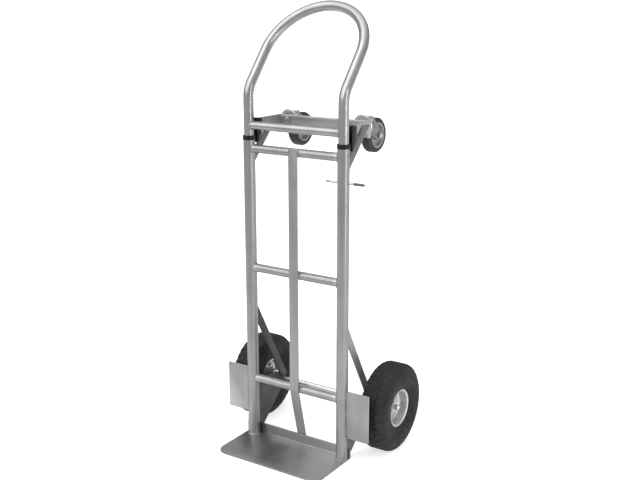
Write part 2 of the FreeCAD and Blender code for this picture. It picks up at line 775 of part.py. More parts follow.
def make_rim_bolts(side, sign):
    """The bolts that hold the two rim halves to the hub's flange, heads outside."""
    pieces = []
    grip = s.rim_sheet * 2 + 3.4
    for i in range(4):
        angle = size(45.0 + 90.0 * i)
        turn = Rotation(Vector(0, 1, 0), -90 * sign)
        across = s.rim_bolt_circle * angle.of_angle("cos")
        up = s.rim_bolt_circle * angle.of_angle("sin")
        for piece in bolt(f"{side}_rim_bolt{i}", 4, grip, 14, 5, turn):
            placed = doc.addObject("Part::Compound", piece.Name + "_placed")
            placed.Links = [piece]
            pieces.append(centre_on(placed, sign * (s.rim_sheet + 0.2), across, up))
    return on_wheel(group(f"{side}_rim_bolts", pieces), sign, f"{side}_rim_bolts")


def make_valve(side, sign):
    """The valve stem, from inside the tube through the rim into its dish."""
    top = s.rim_seat + 2.5
    stem_length = 14
    cap_length = 6
    stem = cylinder(f"{side}_valve_rod", s.valve_radius, stem_length)
    centre_on(stem, sign * s.valve_out, 0, top - stem_length)
    cap = cylinder(f"{side}_valve_cap", s.valve_radius - 0.8, cap_length)
    centre_on(cap, sign * s.valve_out, 0, top - stem_length - cap_length)
    return on_wheel(fuse(f"{side}_valve_stem", [stem, cap]), sign, f"{side}_valve_stem")


# ---- casters -------------------------------------------------------------------------------------


def make_top_race(side, sign):
    """The fixed upper race of the swivel: a round plate against the bracket."""
    blank = cylinder(f"{side}_race_plate", s.race_radius, s.fork_sheet, ALONG_Y)
    groove = ring(f"{side}_race_groove", ball_circle, ball_radius, 360.0, ALONG_Y)
    centre_on(groove, 0, s.fork_sheet + 2.5, 0)
    bore = cylinder(f"{side}_race_bore", 6 + s.running, s.fork_sheet, ALONG_Y)
    race = cut(f"{side}_top_race", blank, [groove, bore])
    locate(race, sign * s.caster_out, s.deck_back, s.caster_height)
    return subpart(race, f"{side}_top_race")


def make_king_pin(side, sign):
    """The bolt that the caster swivels on, its head inside the bracket and its nut inside the fork."""
    grip = crown_front + s.fork_sheet + 0.3 - (s.deck_back - s.deck_sheet)
    pin = group(f"{side}_king_pin", bolt(f"{side}_king", 6, grip, 20, 5, ALONG_Y))
    locate(pin, sign * s.caster_out, s.deck_back - s.deck_sheet, s.caster_height)
    return subpart(pin, f"{side}_king_pin")


def make_caster_balls():
    """The ring of balls between the two races of each swivel."""
    count = 12
    pieces = []
    for side, sign in SIDES.items():
        for i in range(count):
            angle = size(360.0 * i / count)
            ball = doc.addObject("Part::Sphere", f"{side}_ball{i}")
            bind(ball, "Radius", ball_radius - 0.1)
            across = sign * s.caster_out + ball_circle * angle.of_angle("cos")
            up = s.caster_height + ball_circle * angle.of_angle("sin")
            pieces.append(locate(ball, across, race_back + 2.5, up))
    return subpart(group("caster_balls", pieces), "caster_balls")


def make_fork(side, sign):
    """A pressed fork: a round crown on the swivel and two legs down to the caster's axle."""
    reach = s.caster_back - crown_front
    drop = -s.caster_trail
    corners = [
        (0, -24),
        (0, 26),
        (16, 26),
        (reach + 6, drop + 14),
        (reach + 13, drop + 6),
        (reach + 13, drop - 6),
        (reach + 6, drop - 13),
        (reach - 8, drop - 13),
    ]
    body = slab(f"{side}_fork_legs", "YZ_Plane", corners, s.fork_half * 2)
    bends = runs_along(Vector(1, 0, 0), lambda middle: middle.y > 10)
    round_edges(body, 6, bends)
    crown = cylinder(f"{side}_fork_crown", s.race_radius - 4, s.fork_sheet, ALONG_Y)
    inside = box(f"{side}_fork_inside", (s.fork_half - s.fork_sheet) * 2, 200, 200)
    centre_on(inside, s.fork_sheet - s.fork_half, s.fork_sheet, -100)
    groove = ring(f"{side}_fork_groove", ball_circle, ball_radius, 360.0, ALONG_Y)
    centre_on(groove, 0, -2.5, 0)
    king_bore = cylinder(f"{side}_fork_king_bore", 6 + s.running, 20, ALONG_Y)
    centre_on(king_bore, 0, -5, 0)
    axle_bore = cylinder(f"{side}_fork_axle_bore", 5 + s.running, 60, ALONG_X)
    centre_on(axle_bore, -30, reach, drop)
    solid = fuse(f"{side}_fork_solid", [body, crown])
    fork = cut(f"{side}_fork", solid, [inside, groove, king_bore, axle_bore])
    locate(fork, sign * s.caster_out, crown_front, s.caster_height)
    return subpart(fork, f"{side}_fork")


def make_caster_axle(side, sign):
    grip = s.fork_half * 2
    pieces = bolt(f"{side}_caster_bolt", 5, grip, 17, 4.5, ALONG_X)
    axle = group(f"{side}_caster_axle", pieces)
    locate(axle, sign * s.caster_out - s.fork_half, s.caster_back, caster_axle_height)
    return subpart(axle, f"{side}_caster_axle")


def on_caster(thing, sign, label):
    locate(thing, sign * s.caster_out, s.caster_back, caster_axle_height)
    return subpart(thing, label)


def make_tread(side, sign):
    """The rubber ring of a caster wheel, its shoulders rounded."""
    inner = s.caster_radius - 13
    profile = [
        (-s.caster_half, inner),
        (-s.caster_half, s.caster_radius),
        (s.caster_half, s.caster_radius),
        (s.caster_half, inner),
    ]
    body = turned(f"{side}_tread", profile)
    shoulders = goes_round(lambda x, radius: radius > s.caster_radius.value - 0.1)
    round_edges(body, s.caster_shoulder, shoulders)
    return on_caster(body, sign, f"{side}_tread")


def make_core(side, sign):
    """The plastic centre of a caster wheel: a rim, a thin web and a long boss."""
    rim = s.caster_radius - 13.1
    web = 3.0
    boss = s.fork_half - s.fork_sheet - 0.4
    profile = [
        (-boss, 8.1),
        (-boss, 13),
        (-web, 13),
        (-web, rim - 5),
        (-(s.caster_half - 1), rim - 5),
        (-(s.caster_half - 1), rim),
        (s.caster_half - 1, rim),
        (s.caster_half - 1, rim - 5),
        (web, rim - 5),
        (web, 13),
        (boss, 13),
        (boss, 8.1),
    ]
    return on_caster(turned(f"{side}_core", profile), sign, f"{side}_core")


def make_bush(side, sign):
    """The steel sleeve that a caster wheel turns on."""
    half = s.fork_half - s.fork_sheet - 0.3
    bush = sleeve(f"{side}_bush_tube", 8.08, 5 + s.running, half * 2, ALONG_X)
    placed = doc.addObject("Part::Compound", f"{side}_bush")
    placed.Links = [centre_on(bush, -half, 0, 0)]
    return on_caster(placed, sign, f"{side}_bush")


# ---- handle and its pin --------------------------------------------------------------------------


def handle_solid(tag, radius):
    """The handle's line at a given section radius: legs, turns, leaning runs and a half circle."""
    tangent = s.handle_bend * (s.handle_lean / 2).of_angle("tan")
    sine = s.handle_lean.of_angle("sin")
    cosine = s.handle_lean.of_angle("cos")
    turn_start = s.handle_corner - tangent
    arc_y = s.handle_straight * sine
    arc_z = s.handle_corner + s.handle_straight * cosine
    backwards = Rotation(Vector(0, -1, 0), Vector(0, 0, 1), Vector(-1, 0, 0), "XYZ")
    pieces = []
    for side, sign in SIDES.items():
        leg = cylinder(f"{side}_leg_{tag}", radius, turn_start - s.handle_foot)
        pieces.append(locate(leg, sign * rail_half, 0, s.handle_foot))
        turn = ring(f"{side}_turn_{tag}", s.handle_bend, radius, s.handle_lean, backwards)
        pieces.append(locate(turn, sign * rail_half, s.handle_bend, turn_start))
        run = cylinder(f"{side}_run_{tag}", radius, s.handle_straight - tangent)
        run.Placement = Placement(Vector(), Rotation(Vector(-1, 0, 0), s.handle_lean.value))
        bind(run, "Placement.Rotation.Angle", s.handle_lean)
        pieces.append(locate(run, sign * rail_half, tangent * sine, s.handle_corner + tangent * cosine))
    bow = ring(f"bow_{tag}", rail_half, radius, 180.0)
    bow.Placement = Placement(Vector(), Rotation(Vector(1, 0, 0), 90 - s.handle_lean.value))
    bind(bow, "Placement.Rotation.Angle", 90 - s.handle_lean)
    pieces.append(locate(bow, 0, arc_y, arc_z))
    return fuse(f"handle_{tag}", pieces)


def make_handle_loop():
    """One bent tube; the foot of its right leg is slotted where it stands astride the release pin."""
    outer = handle_solid("outside", s.handle_radius)
    inner = handle_solid("bore", s.handle_radius - s.handle_wall)
    slot_width = (s.pin_radius + 0.4) * 2
    slot_top = s.pin_height + s.pin_radius + 0.4
    slot = box("pin_slot", s.handle_radius * 4, slot_width, slot_top - s.handle_foot + 1)
    locate(slot, rail_half - s.handle_radius * 2, -slot_width / 2, s.handle_foot - 1)
    return subpart(cut("handle_loop", outer, [inner, slot]), "handle_loop")


def make_release_pin():
    rod = cylinder("release_pin", s.pin_radius, s.pin_outer - grip_end - s.pin_inner, ALONG_X)
    return subpart(locate(rod, s.pin_inner, 0, s.pin_height), "release_pin")


def make_pin_grip():
    """A moulded sleeve on the outer end of the pin, closed at its end."""
    blank = cylinder("pin_grip_blank", s.grip_radius, s.pin_outer - s.grip_start, ALONG_X)
    locate(blank, s.grip_start, 0, s.pin_height)
    bore = cylinder("pin_grip_bore", s.pin_radius + 0.02, s.pin_outer - grip_end - s.grip_start, ALONG_X)
    locate(bore, s.grip_start, 0, s.pin_height)
    return subpart(cut("pin_grip", blank, [bore]), "pin_grip")


# ---- the whole truck -----------------------------------------------------------------------------

for side, sign in SIDES.items():
    make_rail(side, sign)
for bar_name, bar_height in (("lower", s.lower_bar), ("middle", s.middle_bar), ("top", s.top_bar)):
    make_crossbar(f"{bar_name}_crossbar", bar_height, s.rail_radius)
make_strap()
make_toe_plate()
make_caster_bracket()
make_socket_bolts()
make_axle()
make_axle_washers()
make_cotter_pins()
make_axle_spacers()
make_caster_balls()
for side, sign in SIDES.items():
    make_guard(side, sign)
    make_axle_bracket(side, sign)
    make_lower_brace(side, sign)
    make_upper_brace(side, sign)
    make_socket_block(side, sign)
    make_tyre(side, sign)
    make_inner_tube(side, sign)
    make_rim(side, sign, "outer", sign)
    make_rim(side, sign, "inner", -sign)
    make_hub(side, sign)
    make_bearings(side, sign)
    make_rim_bolts(side, sign)
    make_valve(side, sign)
    make_top_race(side, sign)
    make_king_pin(side, sign)
    make_fork(side, sign)
    make_caster_axle(side, sign)
    make_tread(side, sign)
    make_core(side, sign)
    make_bush(side, sign)
make_handle_loop()
make_crossbar("handle_crossbar", s.handle_bar, s.handle_radius)
make_release_pin()
make_pin_grip()

doc.recompute()
failed = [thing.Name for thing in doc.Objects if "Invalid" in thing.State or "Error" in thing.State]
if failed:
    raise RuntimeError(f"these objects did not recompute: {failed}")
for thing in subparts:
    if thing.Shape.isNull() or not thing.Shape.isValid() or not thing.Shape.Solids:
        raise RuntimeError(f"{thing.Label} has no valid solid")

os.makedirs("parts", exist_ok=True)
for thing in subparts:
    thing.Shape.exportStep(f"parts/{thing.Label}.step")
    bounds = thing.Shape.BoundBox
    solids = len(thing.Shape.Solids)
    volume = thing.Shape.Volume / 1000
    print(f"{thing.Label:22s} solids {solids:2d}  volume {volume:9.2f} cm3")
    print(f"    x {bounds.XMin:7.1f} {bounds.XMax:7.1f}  y {bounds.YMin:7.1f} {bounds.YMax:7.1f}")
    print(f"    z {bounds.ZMin:7.1f} {bounds.ZMax:7.1f}")
print(len(subparts), "sub-parts")
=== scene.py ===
import json
import math
import random

import bmesh
import bpy
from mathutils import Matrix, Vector, noise


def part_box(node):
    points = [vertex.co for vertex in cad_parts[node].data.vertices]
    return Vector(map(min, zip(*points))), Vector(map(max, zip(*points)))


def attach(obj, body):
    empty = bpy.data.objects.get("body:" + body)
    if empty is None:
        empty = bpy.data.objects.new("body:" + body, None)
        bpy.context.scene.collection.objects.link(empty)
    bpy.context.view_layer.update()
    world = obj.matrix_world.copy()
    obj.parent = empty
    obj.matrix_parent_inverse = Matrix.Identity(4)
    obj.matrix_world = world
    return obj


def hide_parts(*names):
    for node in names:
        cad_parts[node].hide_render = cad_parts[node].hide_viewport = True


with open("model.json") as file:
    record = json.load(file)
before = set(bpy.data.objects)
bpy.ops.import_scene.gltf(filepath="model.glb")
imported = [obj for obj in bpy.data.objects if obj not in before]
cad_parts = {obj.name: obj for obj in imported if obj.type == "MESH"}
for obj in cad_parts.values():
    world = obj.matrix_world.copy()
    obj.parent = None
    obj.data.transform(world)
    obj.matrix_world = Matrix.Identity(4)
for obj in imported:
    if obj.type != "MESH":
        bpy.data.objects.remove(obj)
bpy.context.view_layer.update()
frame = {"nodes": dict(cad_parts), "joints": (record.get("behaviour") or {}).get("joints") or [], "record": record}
MM = 0.001
SIDES = (("left", -1.0), ("right", 1.0))


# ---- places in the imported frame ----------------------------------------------

def middle(node):
    low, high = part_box(node)
    return (low + high) / 2


def extent(node):
    low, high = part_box(node)
    return high - low


def joint(name):
    return next(j for j in frame["joints"] if j["name"] == name)


RAIL_X = middle("right_rail").x
RAIL_Y = middle("right_rail").y
RAIL_R = extent("right_rail").x / 2
BAR_R = extent("top_crossbar").z / 2
BARS = ("lower_crossbar", "middle_crossbar", "top_crossbar")
TUBE_WALL = 1.6 * MM
X_AXIS = (1, 0, 0)


# ---- shader helpers ----------------------------------------------------------

class Shader:
    """A Principled material with short calls for the few nodes that the finishes here are made of."""

    def __init__(self, name, metallic=0.0, roughness=0.5, **sockets):
        self.material = bpy.data.materials.new(name)
        self.material.use_nodes = True
        self.nodes = self.material.node_tree.nodes
        self.links = self.material.node_tree.links
        self.surface = self.nodes["Principled BSDF"]
        self.surface.inputs["Metallic"].default_value = metallic
        self.surface.inputs["Roughness"].default_value = roughness
        for socket, value in sockets.items():
            self.surface.inputs[socket.replace("_", " ")].default_value = value
        self.place = self.add("ShaderNodeTexCoord").outputs["Object"]
        self.heights = []

    def add(self, kind, **settings):
        node = self.nodes.new(kind)
        for key, value in settings.items():
            setattr(node, key, value)
        return node

    def stretched(self, scale):
        """Object coordinates, in metres, scaled by (x, y, z)."""
        node = self.add("ShaderNodeMapping")
        node.inputs["Scale"].default_value = scale
        self.links.new(self.place, node.inputs["Vector"])
        return node.outputs["Vector"]

    def noise(self, scale, detail=3.0, stretch=(1, 1, 1), distortion=0.0):
        node = self.add("ShaderNodeTexNoise")
        node.inputs["Scale"].default_value = scale
        node.inputs["Detail"].default_value = detail
        node.inputs["Distortion"].default_value = distortion
        self.links.new(self.stretched(stretch), node.inputs["Vector"])
        return node.outputs["Fac"]

    def ramp(self, factor, stops):
        """stops are (position, grey or colour)."""
        node = self.add("ShaderNodeValToRGB")
        elements = node.color_ramp.elements
        while len(elements) < len(stops):
            elements.new(0.5)
        for element, (position, colour) in zip(elements, stops):
            element.position = position
            element.color = (*colour, 1) if isinstance(colour, tuple) else (colour, colour, colour, 1)
        self.links.new(factor, node.inputs["Fac"])
        return node.outputs["Color"]

    def between(self, factor, low, high):
        """From low, where the factor is 0.3, to high, where it is 0.7."""
        return self.ramp(factor, [(0.3, low), (0.7, high)])

    def span(self, value, start, end, most):
        """0 up to start, rising smoothly to most at end."""
        node = self.add("ShaderNodeMapRange", interpolation_type="SMOOTHSTEP")
        for socket, setting in (("From Min", start), ("From Max", end), ("To Max", most)):
            node.inputs[socket].default_value = setting
        self.links.new(value, node.inputs["Value"])
        return node.outputs["Result"]

    def mix(self, factor, first, second):
        """first where the factor is 0 and second where it is 1."""
        node = self.add("ShaderNodeMix", data_type="RGBA")
        for socket, value in (("Factor", factor), ("A", first), ("B", second)):
            kind = "VALUE" if socket == "Factor" else "RGBA"
            target = next(s for s in node.inputs if s.name == socket and s.type == kind)
            if isinstance(value, bpy.types.NodeSocket):
                self.links.new(value, target)
            elif socket == "Factor":
                target.default_value = value
            else:
                target.default_value = (*value, 1)
        return next(s for s in node.outputs if s.type == "RGBA")

    def worn_edges(self, low, high):
        """White on convex edges, by how sharply the surface turns."""
        geometry = self.add("ShaderNodeNewGeometry")
        return self.ramp(geometry.outputs["Pointiness"], [(low, 0.0), (high, 1.0)])

    def colour(self, value):
        self.links.new(value, self.surface.inputs["Base Color"])

    def rough(self, factor, low, high, top=0.7):
        """Roughness from low, where the factor is 0.3, to high, where it is top."""
        self.links.new(self.ramp(factor, [(0.3, low), (top, high)]), self.surface.inputs["Roughness"])

    def bump(self, height, distance, strength):
        """Relief on top of any that was added before; distance is in metres."""
        node = self.add("ShaderNodeBump")
        node.inputs["Distance"].default_value = distance
        node.inputs["Strength"].default_value = strength
        self.links.new(height, node.inputs["Height"])
        if self.heights:
            self.links.new(self.heights[-1], node.inputs["Normal"])
        self.heights.append(node.outputs["Normal"])
        self.links.new(self.heights[-1], self.surface.inputs["Normal"])


def grey(value, warm=0.0):
    """A grey, a little warmer or (below 0) cooler than neutral."""
    return (value * (1 + warm), value, value * (1 - warm))


def silver_coat(name="silver_coat", low=0.205, high=0.25):
    """The silver coat on tube and plate: mottled, with faint upright streaks, worn at its edges."""
    s = Shader(name, metallic=0.65, roughness=0.32, Specular_Tint=(0.5, 0.5, 0.5, 1))
    clouds = s.between(s.noise(14, 4), grey(low, 0.015), grey(high, 0.01))
    drawn = s.noise(90, 3, (1, 1, 0.04))
    streaked = s.mix(s.ramp(drawn, [(0.42, 0.0), (0.75, 0.35)]), clouds, grey(0.29, 0.01))
    specks = s.ramp(s.noise(420, 2), [(0.66, 0.0), (0.72, 0.5)])
    speckled = s.mix(specks, streaked, grey(0.16, 0.03))
    s.colour(s.mix(s.worn_edges(0.53, 0.62), speckled, grey(0.36)))
    s.rough(s.noise(30, 5, (1, 1, 0.25)), 0.27, 0.38)
    s.bump(s.noise(700, 2), 0.00004, 0.3)
    s.bump(drawn, 0.00005, 0.3)
    return s.material


# The toe plate's painted reflection fades in over these x places; its painted shade rises over these heights at
# the fold.
TOE_REFLECTION_FROM = 0 * MM
TOE_REFLECTION_TO = 150 * MM
TOE_SHADE_FROM = 4.1 * MM
TOE_SHADE_TO = 4.9 * MM


def toe_steel():
    """Bare rolled plate with faint rolling lines and scuffs, smooth enough to mirror the uprights faintly.

    It is paler towards the right, a painted reflection, and darker from the fold upwards, painted shade on the
    flange.
    """
    s = Shader("toe_steel", metallic=0.9, roughness=0.24)
    rolled = s.noise(70, 4, (0.05, 1, 1))
    base = s.between(rolled, grey(0.27, 0.01), grey(0.30, 0.01))
    clouds = s.ramp(s.noise(7, 5, distortion=0.5), [(0.4, 0.0), (0.8, 0.5)])
    cloudy = s.mix(clouds, base, grey(0.33, 0.01))
    scuffs = s.ramp(s.noise(55, 8, (6, 0.35, 1), 1.5), [(0.63, 0.0), (0.70, 0.35)])
    scuffed = s.mix(scuffs, cloudy, grey(0.39))
    split = s.add("ShaderNodeSeparateXYZ")
    s.links.new(s.place, split.inputs["Vector"])
    # painted reflection: paler towards the right
    painted_reflection = s.mix(s.span(split.outputs["X"], TOE_REFLECTION_FROM, TOE_REFLECTION_TO, 0.55), scuffed, grey(0.42))
    # painted shade: darker from the fold upwards
    s.colour(s.mix(s.span(split.outputs["Z"], TOE_SHADE_FROM, TOE_SHADE_TO, 0.5), painted_reflection, grey(0.13)))
    s.rough(s.noise(16, 6), 0.27, 0.38, top=0.75)
    s.bump(rolled, 0.00006, 0.4)
    s.bump(scuffs, 0.00005, 0.5)
    return s.material


def shaded_toe_edge():
    """The sheared edge of that plate: dull, with the shear's upright lines, and painted dark as shade."""
    s = Shader("shaded_toe_edge", metallic=0.6, roughness=0.55, Specular_Tint=(0.5, 0.5, 0.5, 1))
    sheared = s.noise(260, 4, (1, 1, 0.1))
    # painted shade: the edge's colour is kept far darker than the plate's
    s.colour(s.between(sheared, grey(0.09, 0.02), grey(0.14, 0.01)))
    s.rough(s.noise(120, 4), 0.48, 0.65)
    s.bump(sheared, 0.00008, 0.5)
    return s.material


def zinc_plate():
    """Zinc-plated hardware: cool grey with a faint crystalline patchwork."""
    s = Shader("zinc_plate", metallic=0.95, roughness=0.3)
    crystals = s.add("ShaderNodeTexVoronoi")
    crystals.inputs["Scale"].default_value = 260
    s.links.new(s.place, crystals.inputs["Vector"])
    patches = s.ramp(crystals.outputs["Distance"], [(0.0, grey(0.36, -0.02)), (0.6, grey(0.47, -0.01))])
    grime = s.ramp(s.noise(45, 5), [(0.5, 0.0), (0.8, 0.55)])
    grimy = s.mix(grime, patches, grey(0.20, 0.05))
    s.colour(s.mix(s.worn_edges(0.52, 0.62), grimy, grey(0.60)))
    s.rough(s.noise(120, 4), 0.24, 0.40)
    s.bump(s.noise(900, 2), 0.00005, 0.4)
    return s.material


def rim_zinc(name, low, high):
    """Zinc on the pressed rims, dulled and smudged, with the lines that spinning leaves."""
    s = Shader(name, metallic=0.65, roughness=0.3, Specular_Tint=(0.6, 0.6, 0.6, 1))
    clouds = s.between(s.noise(35, 5), grey(low, 0.01), grey(high, 0.005))
    smudges = s.ramp(s.noise(60, 6, distortion=1.0), [(0.52, 0.0), (0.8, 0.5)])
    s.colour(s.mix(smudges, clouds, grey(low * 0.75, 0.02)))
    s.rough(s.noise(50, 5), 0.22, 0.36, top=0.75)
    s.bump(s.noise(220, 4, (4, 1, 1)), 0.00006, 0.35)
    return s.material


def ground_steel():
    """Bearing steel and bushes, ground and lightly oiled."""
    s = Shader("ground_steel", metallic=1.0, roughness=0.18)
    s.colour(s.between(s.noise(150, 4), grey(0.50), grey(0.62, 0.01)))
    s.rough(s.noise(300, 3, (8, 1, 1)), 0.14, 0.28)
    s.bump(s.noise(500, 2, (10, 1, 1)), 0.00003, 0.3)
    return s.material


def tyre_rubber():
    """Black rubber, greyed by dust in patches and paler at its edges."""
    s = Shader("tyre_rubber", roughness=0.8, Specular_IOR_Level=0.3)
    base = s.between(s.noise(60, 4), grey(0.0055, 0.04), grey(0.009, 0.04))
    dust = s.ramp(s.noise(13, 8, distortion=0.4), [(0.46, 0.0), (0.82, 0.5)])
    dusty = s.mix(dust, base, grey(0.020, 0.06))
    s.colour(s.mix(s.worn_edges(0.53, 0.62), dusty, grey(0.027, 0.03)))
    s.rough(s.noise(40, 5), 0.62, 0.86)
    s.bump(s.noise(900, 3), 0.00012, 0.5)
    s.bump(s.noise(160, 4), 0.0001, 0.3)
    return s.material


def soft_rubber():
    """Inner tubes and valve stems."""
    s = Shader("soft_rubber", roughness=0.6)
    s.colour(s.between(s.noise(80, 3), grey(0.018), grey(0.03, 0.03)))
    s.rough(s.noise(90, 3), 0.5, 0.7)
    s.bump(s.noise(600, 2), 0.00006, 0.4)
    return s.material


def caster_rubber():
    """The casters' treads: dark grey rubber with lighter scuffs."""
    s = Shader("caster_rubber", roughness=0.7, Specular_IOR_Level=0.45)
    base = s.between(s.noise(70, 4), grey(0.010, 0.02), grey(0.019, 0.02))
    scuffs = s.ramp(s.noise(120, 7, (2.5, 1, 1), 0.8), [(0.55, 0.0), (0.75, 0.7)])
    s.colour(s.mix(scuffs, base, grey(0.05, 0.03)))
    s.rough(s.noise(60, 4), 0.55, 0.8)
    s.bump(s.noise(700, 3), 0.0001, 0.5)
    return s.material


def grey_plastic(name, low, high):
    """Grey moulded plastic with a fine spark grain."""
    s = Shader(name, roughness=0.48)
    base = s.between(s.noise(50, 3), grey(low, 0.01), grey(high, 0.01))
    s.colour(s.mix(s.worn_edges(0.53, 0.65), base, grey(high * 1.3)))
    s.rough(s.noise(45, 4), 0.40, 0.58)
    s.bump(s.noise(1300, 2), 0.00008, 0.5)
    return s.material


def black_moulding():
    """Black nylon mouldings: spark grain, paler at rubbed edges."""
    s = Shader("black_moulding", roughness=0.5, Specular_IOR_Level=0.18)
    base = s.between(s.noise(40, 4), grey(0.005), grey(0.009))
    s.colour(s.mix(s.worn_edges(0.53, 0.66), base, grey(0.03)))
    s.rough(s.noise(60, 4), 0.36, 0.56)
    s.bump(s.noise(1100, 2), 0.0001, 0.6)
    return s.material


def lit_bow_coat():
    """The coat on the handle, polished by hands, and painted a little lighter than the frame's coat for the light
    it catches.
    """
    s = Shader("lit_bow_coat", metallic=0.7, roughness=0.24, Specular_Tint=(0.6, 0.6, 0.6, 1))
    # painted light: a lighter copy of the frame's silver
    clouds = s.between(s.noise(18, 4), grey(0.25, 0.015), grey(0.31, 0.01))
    specks = s.ramp(s.noise(420, 2), [(0.66, 0.0), (0.72, 0.5)])
    s.colour(s.mix(specks, clouds, grey(0.20, 0.03)))
    s.rough(s.noise(30, 5), 0.22, 0.32)
    s.bump(s.noise(500, 2), 0.00003, 0.25)
    return s.material


def plate_coat(name, low, high):
    """The silver coat on sheared plate and flat bar, duller, in the tone that low and high give: its copies are
    the coat painted in shade, and painted lighter where light falls.
    """
    s = Shader(name, metallic=0.6, roughness=0.42, Specular_Tint=(0.5, 0.5, 0.5, 1))
    clouds = s.between(s.noise(20, 5), grey(low, 0.015), grey(high, 0.01))
    specks = s.ramp(s.noise(380, 2), [(0.62, 0.0), (0.72, 0.5)])
    s.colour(s.mix(specks, clouds, grey(high * 1.4, 0.01)))
    s.rough(s.noise(34, 5), 0.34, 0.50)
    s.bump(s.noise(650, 2), 0.00007, 0.5)
    return s.material


def shaded_fork_steel():
    """Forks and pins: dull zinc, painted dark as shade."""
    s = Shader("shaded_fork_steel", metallic=0.85, roughness=0.36)
    # painted shade: kept far darker than the zinc hardware
    clouds = s.between(s.noise(60, 5, distortion=0.5), grey(0.09, 0.01), grey(0.18, 0.01))
    s.colour(s.mix(s.worn_edges(0.52, 0.60), clouds, grey(0.60)))
    s.rough(s.noise(90, 4), 0.26, 0.44)
    s.bump(s.noise(600, 2), 0.00006, 0.4)
    return s.material


def weld_metal():
    """Weld beads under the silver coat, a little rougher and darker than the tube."""
    s = Shader("weld_metal", metallic=0.75, roughness=0.45)
    base = s.between(s.noise(180, 4), grey(0.19, 0.02), grey(0.29, 0.02))
    s.colour(s.mix(s.ramp(s.noise(30, 3), [(0.5, 0.0), (0.8, 0.5)]), base, grey(0.14, 0.05)))
    s.rough(s.noise(200, 3), 0.36, 0.55)
    s.bump(s.noise(900, 3), 0.0001, 0.6)
    return s.material


FLOOR_GREY_FROM = -1.9
FLOOR_WHITE_TO = -0.7


def pale_floor():
    """A light table: white under and behind the truck, grey well in front of it.

    It is lit from below, so that shadows fade.
    """
    s = Shader("pale_floor", roughness=0.8, Emission_Strength=0.65)
    clouds = s.between(s.noise(1.5, 3), grey(0.50), grey(0.52))
    split = s.add("ShaderNodeSeparateXYZ")
    s.links.new(s.place, split.inputs["Vector"])
    ahead = s.span(split.outputs["Y"], FLOOR_GREY_FROM, FLOOR_WHITE_TO, 1.0)
    s.colour(s.mix(ahead, grey(0.34), clouds))
    s.links.new(s.ramp(ahead, [(0.0, 0.1), (1.0, 1.0)]), s.surface.inputs["Emission Color"])
    s.rough(s.noise(3, 3), 0.7, 0.85)
    return s.material


MATERIALS = {
    "silver_steel": silver_coat(),
    "toe_steel": toe_steel(),
    "zinc_hardware": zinc_plate(),
    "rim_zinc": rim_zinc("bright_rim", 0.52, 0.60),
    "bearing_steel": ground_steel(),
    "tyre_rubber": tyre_rubber(),
    "tube_rubber": soft_rubber(),
    "caster_rubber": caster_rubber(),
    "caster_plastic": grey_plastic("caster_plastic", 0.21, 0.26),
    "black_moulding": black_moulding(),
}
WELD = weld_metal()
# the handle's coat, painted lighter for the light on it
LIT_BOW = lit_bow_coat()
# the rim's zinc in painted shade, for the lip
SHADED_RIM_LIP = rim_zinc("shaded_rim_lip", 0.22, 0.28)
GRIP = grey_plastic("grip_plastic", 0.05, 0.08)
SHADED_EDGE = shaded_toe_edge()
# the plate coat in painted shade, in deeper painted shade, and painted lighter where light falls
SHADED_PLATE = plate_coat("plate_coat", 0.12, 0.17)
DEEP_SHADE_PLATE = plate_coat("deep_shade_plate_coat", 0.045, 0.07)
LIT_PLATE = plate_coat("lit_plate_coat", 0.22, 0.29)
# the silver coat painted lighter, for the caster bracket, as light falling on it
LIT_BRACKET_COAT = silver_coat("lit_bracket_coat", 0.28, 0.34)
# forks and pins in painted shade
SHADED_FORK_STEEL = shaded_fork_steel()
SLOT_OF = {row["node"]: row["material_slot"] for row in frame["record"]["subparts"]}
BODY_OF = {node: body for body, nodes in frame["record"]["behaviour"]["bodies"].items() for node in nodes}

for node, thing in frame["nodes"].items():
    thing.data.materials.clear()
    thing.data.materials.append(MATERIALS[SLOT_OF[node]])


# ---- mesh helpers ------------------------------------------------------------

def finish_mesh(mesh, sharp=32.0):
    """Smooth shading, except across edges sharper than so many degrees."""
    mesh.shade_smooth()
    mesh.set_sharp_from_angle(angle=math.radians(sharp))


def add_piece(name, mesh, body, slot, material=None, replaced=(), sharp=32.0):
    """Puts a mesh, already in the row frame, into the scene on a body."""
    finish_mesh(mesh, sharp)
    mesh.materials.clear()
    mesh.materials.append(material or MATERIALS[slot])
    piece = bpy.data.objects.new(name, mesh)
    bpy.context.scene.collection.objects.link(piece)
    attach(piece, body)
    if replaced:
        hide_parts(*replaced)
    return piece


def mesh_of(name, vertices, faces):
    mesh = bpy.data.meshes.new(name)
    mesh.from_pydata([tuple(v) for v in vertices], [], faces)
    mesh.update()
    return mesh


def grid_faces(rows, columns, close_rows=False):
    """Quads over points laid out row by row, where each row is a ring."""
    faces = []
    for i in range(rows if close_rows else rows - 1):
        here, beyond = i * columns, (i + 1) % rows * columns
        for j in range(columns):
            k = (j + 1) % columns
            faces.append((here + j, here + k, beyond + k, beyond + j))
    return faces


def turned(name, profile, centre, axis, segments=96, dent=None):
    """A closed outline of (along, radius), turned about an axis through centre."""
    axis = Vector(axis).normalized()
    across = axis.orthogonal().normalized() if abs(axis.x) < 0.9 else Vector((0, 1, 0))
    up = axis.cross(across)
    vertices = []
    for i in range(segments):
        angle = 2 * math.pi * i / segments
        out = across * math.cos(angle) + up * math.sin(angle)
        for along, radius in profile:
            drop = dent(angle, along, radius) if dent else 0.0
            vertices.append(Vector(centre) + axis * along + out * (radius - drop))
    mesh = mesh_of(name, vertices, grid_faces(segments, len(profile), True))
    flip_outwards(mesh)
    return mesh


def in_mm(points):
    """Points given in millimetres, as metres."""
    return [(u * MM, v * MM) for u, v in points]


SIDE_SHARE = 0.48
NEARLY_STRAIGHT = 0.02


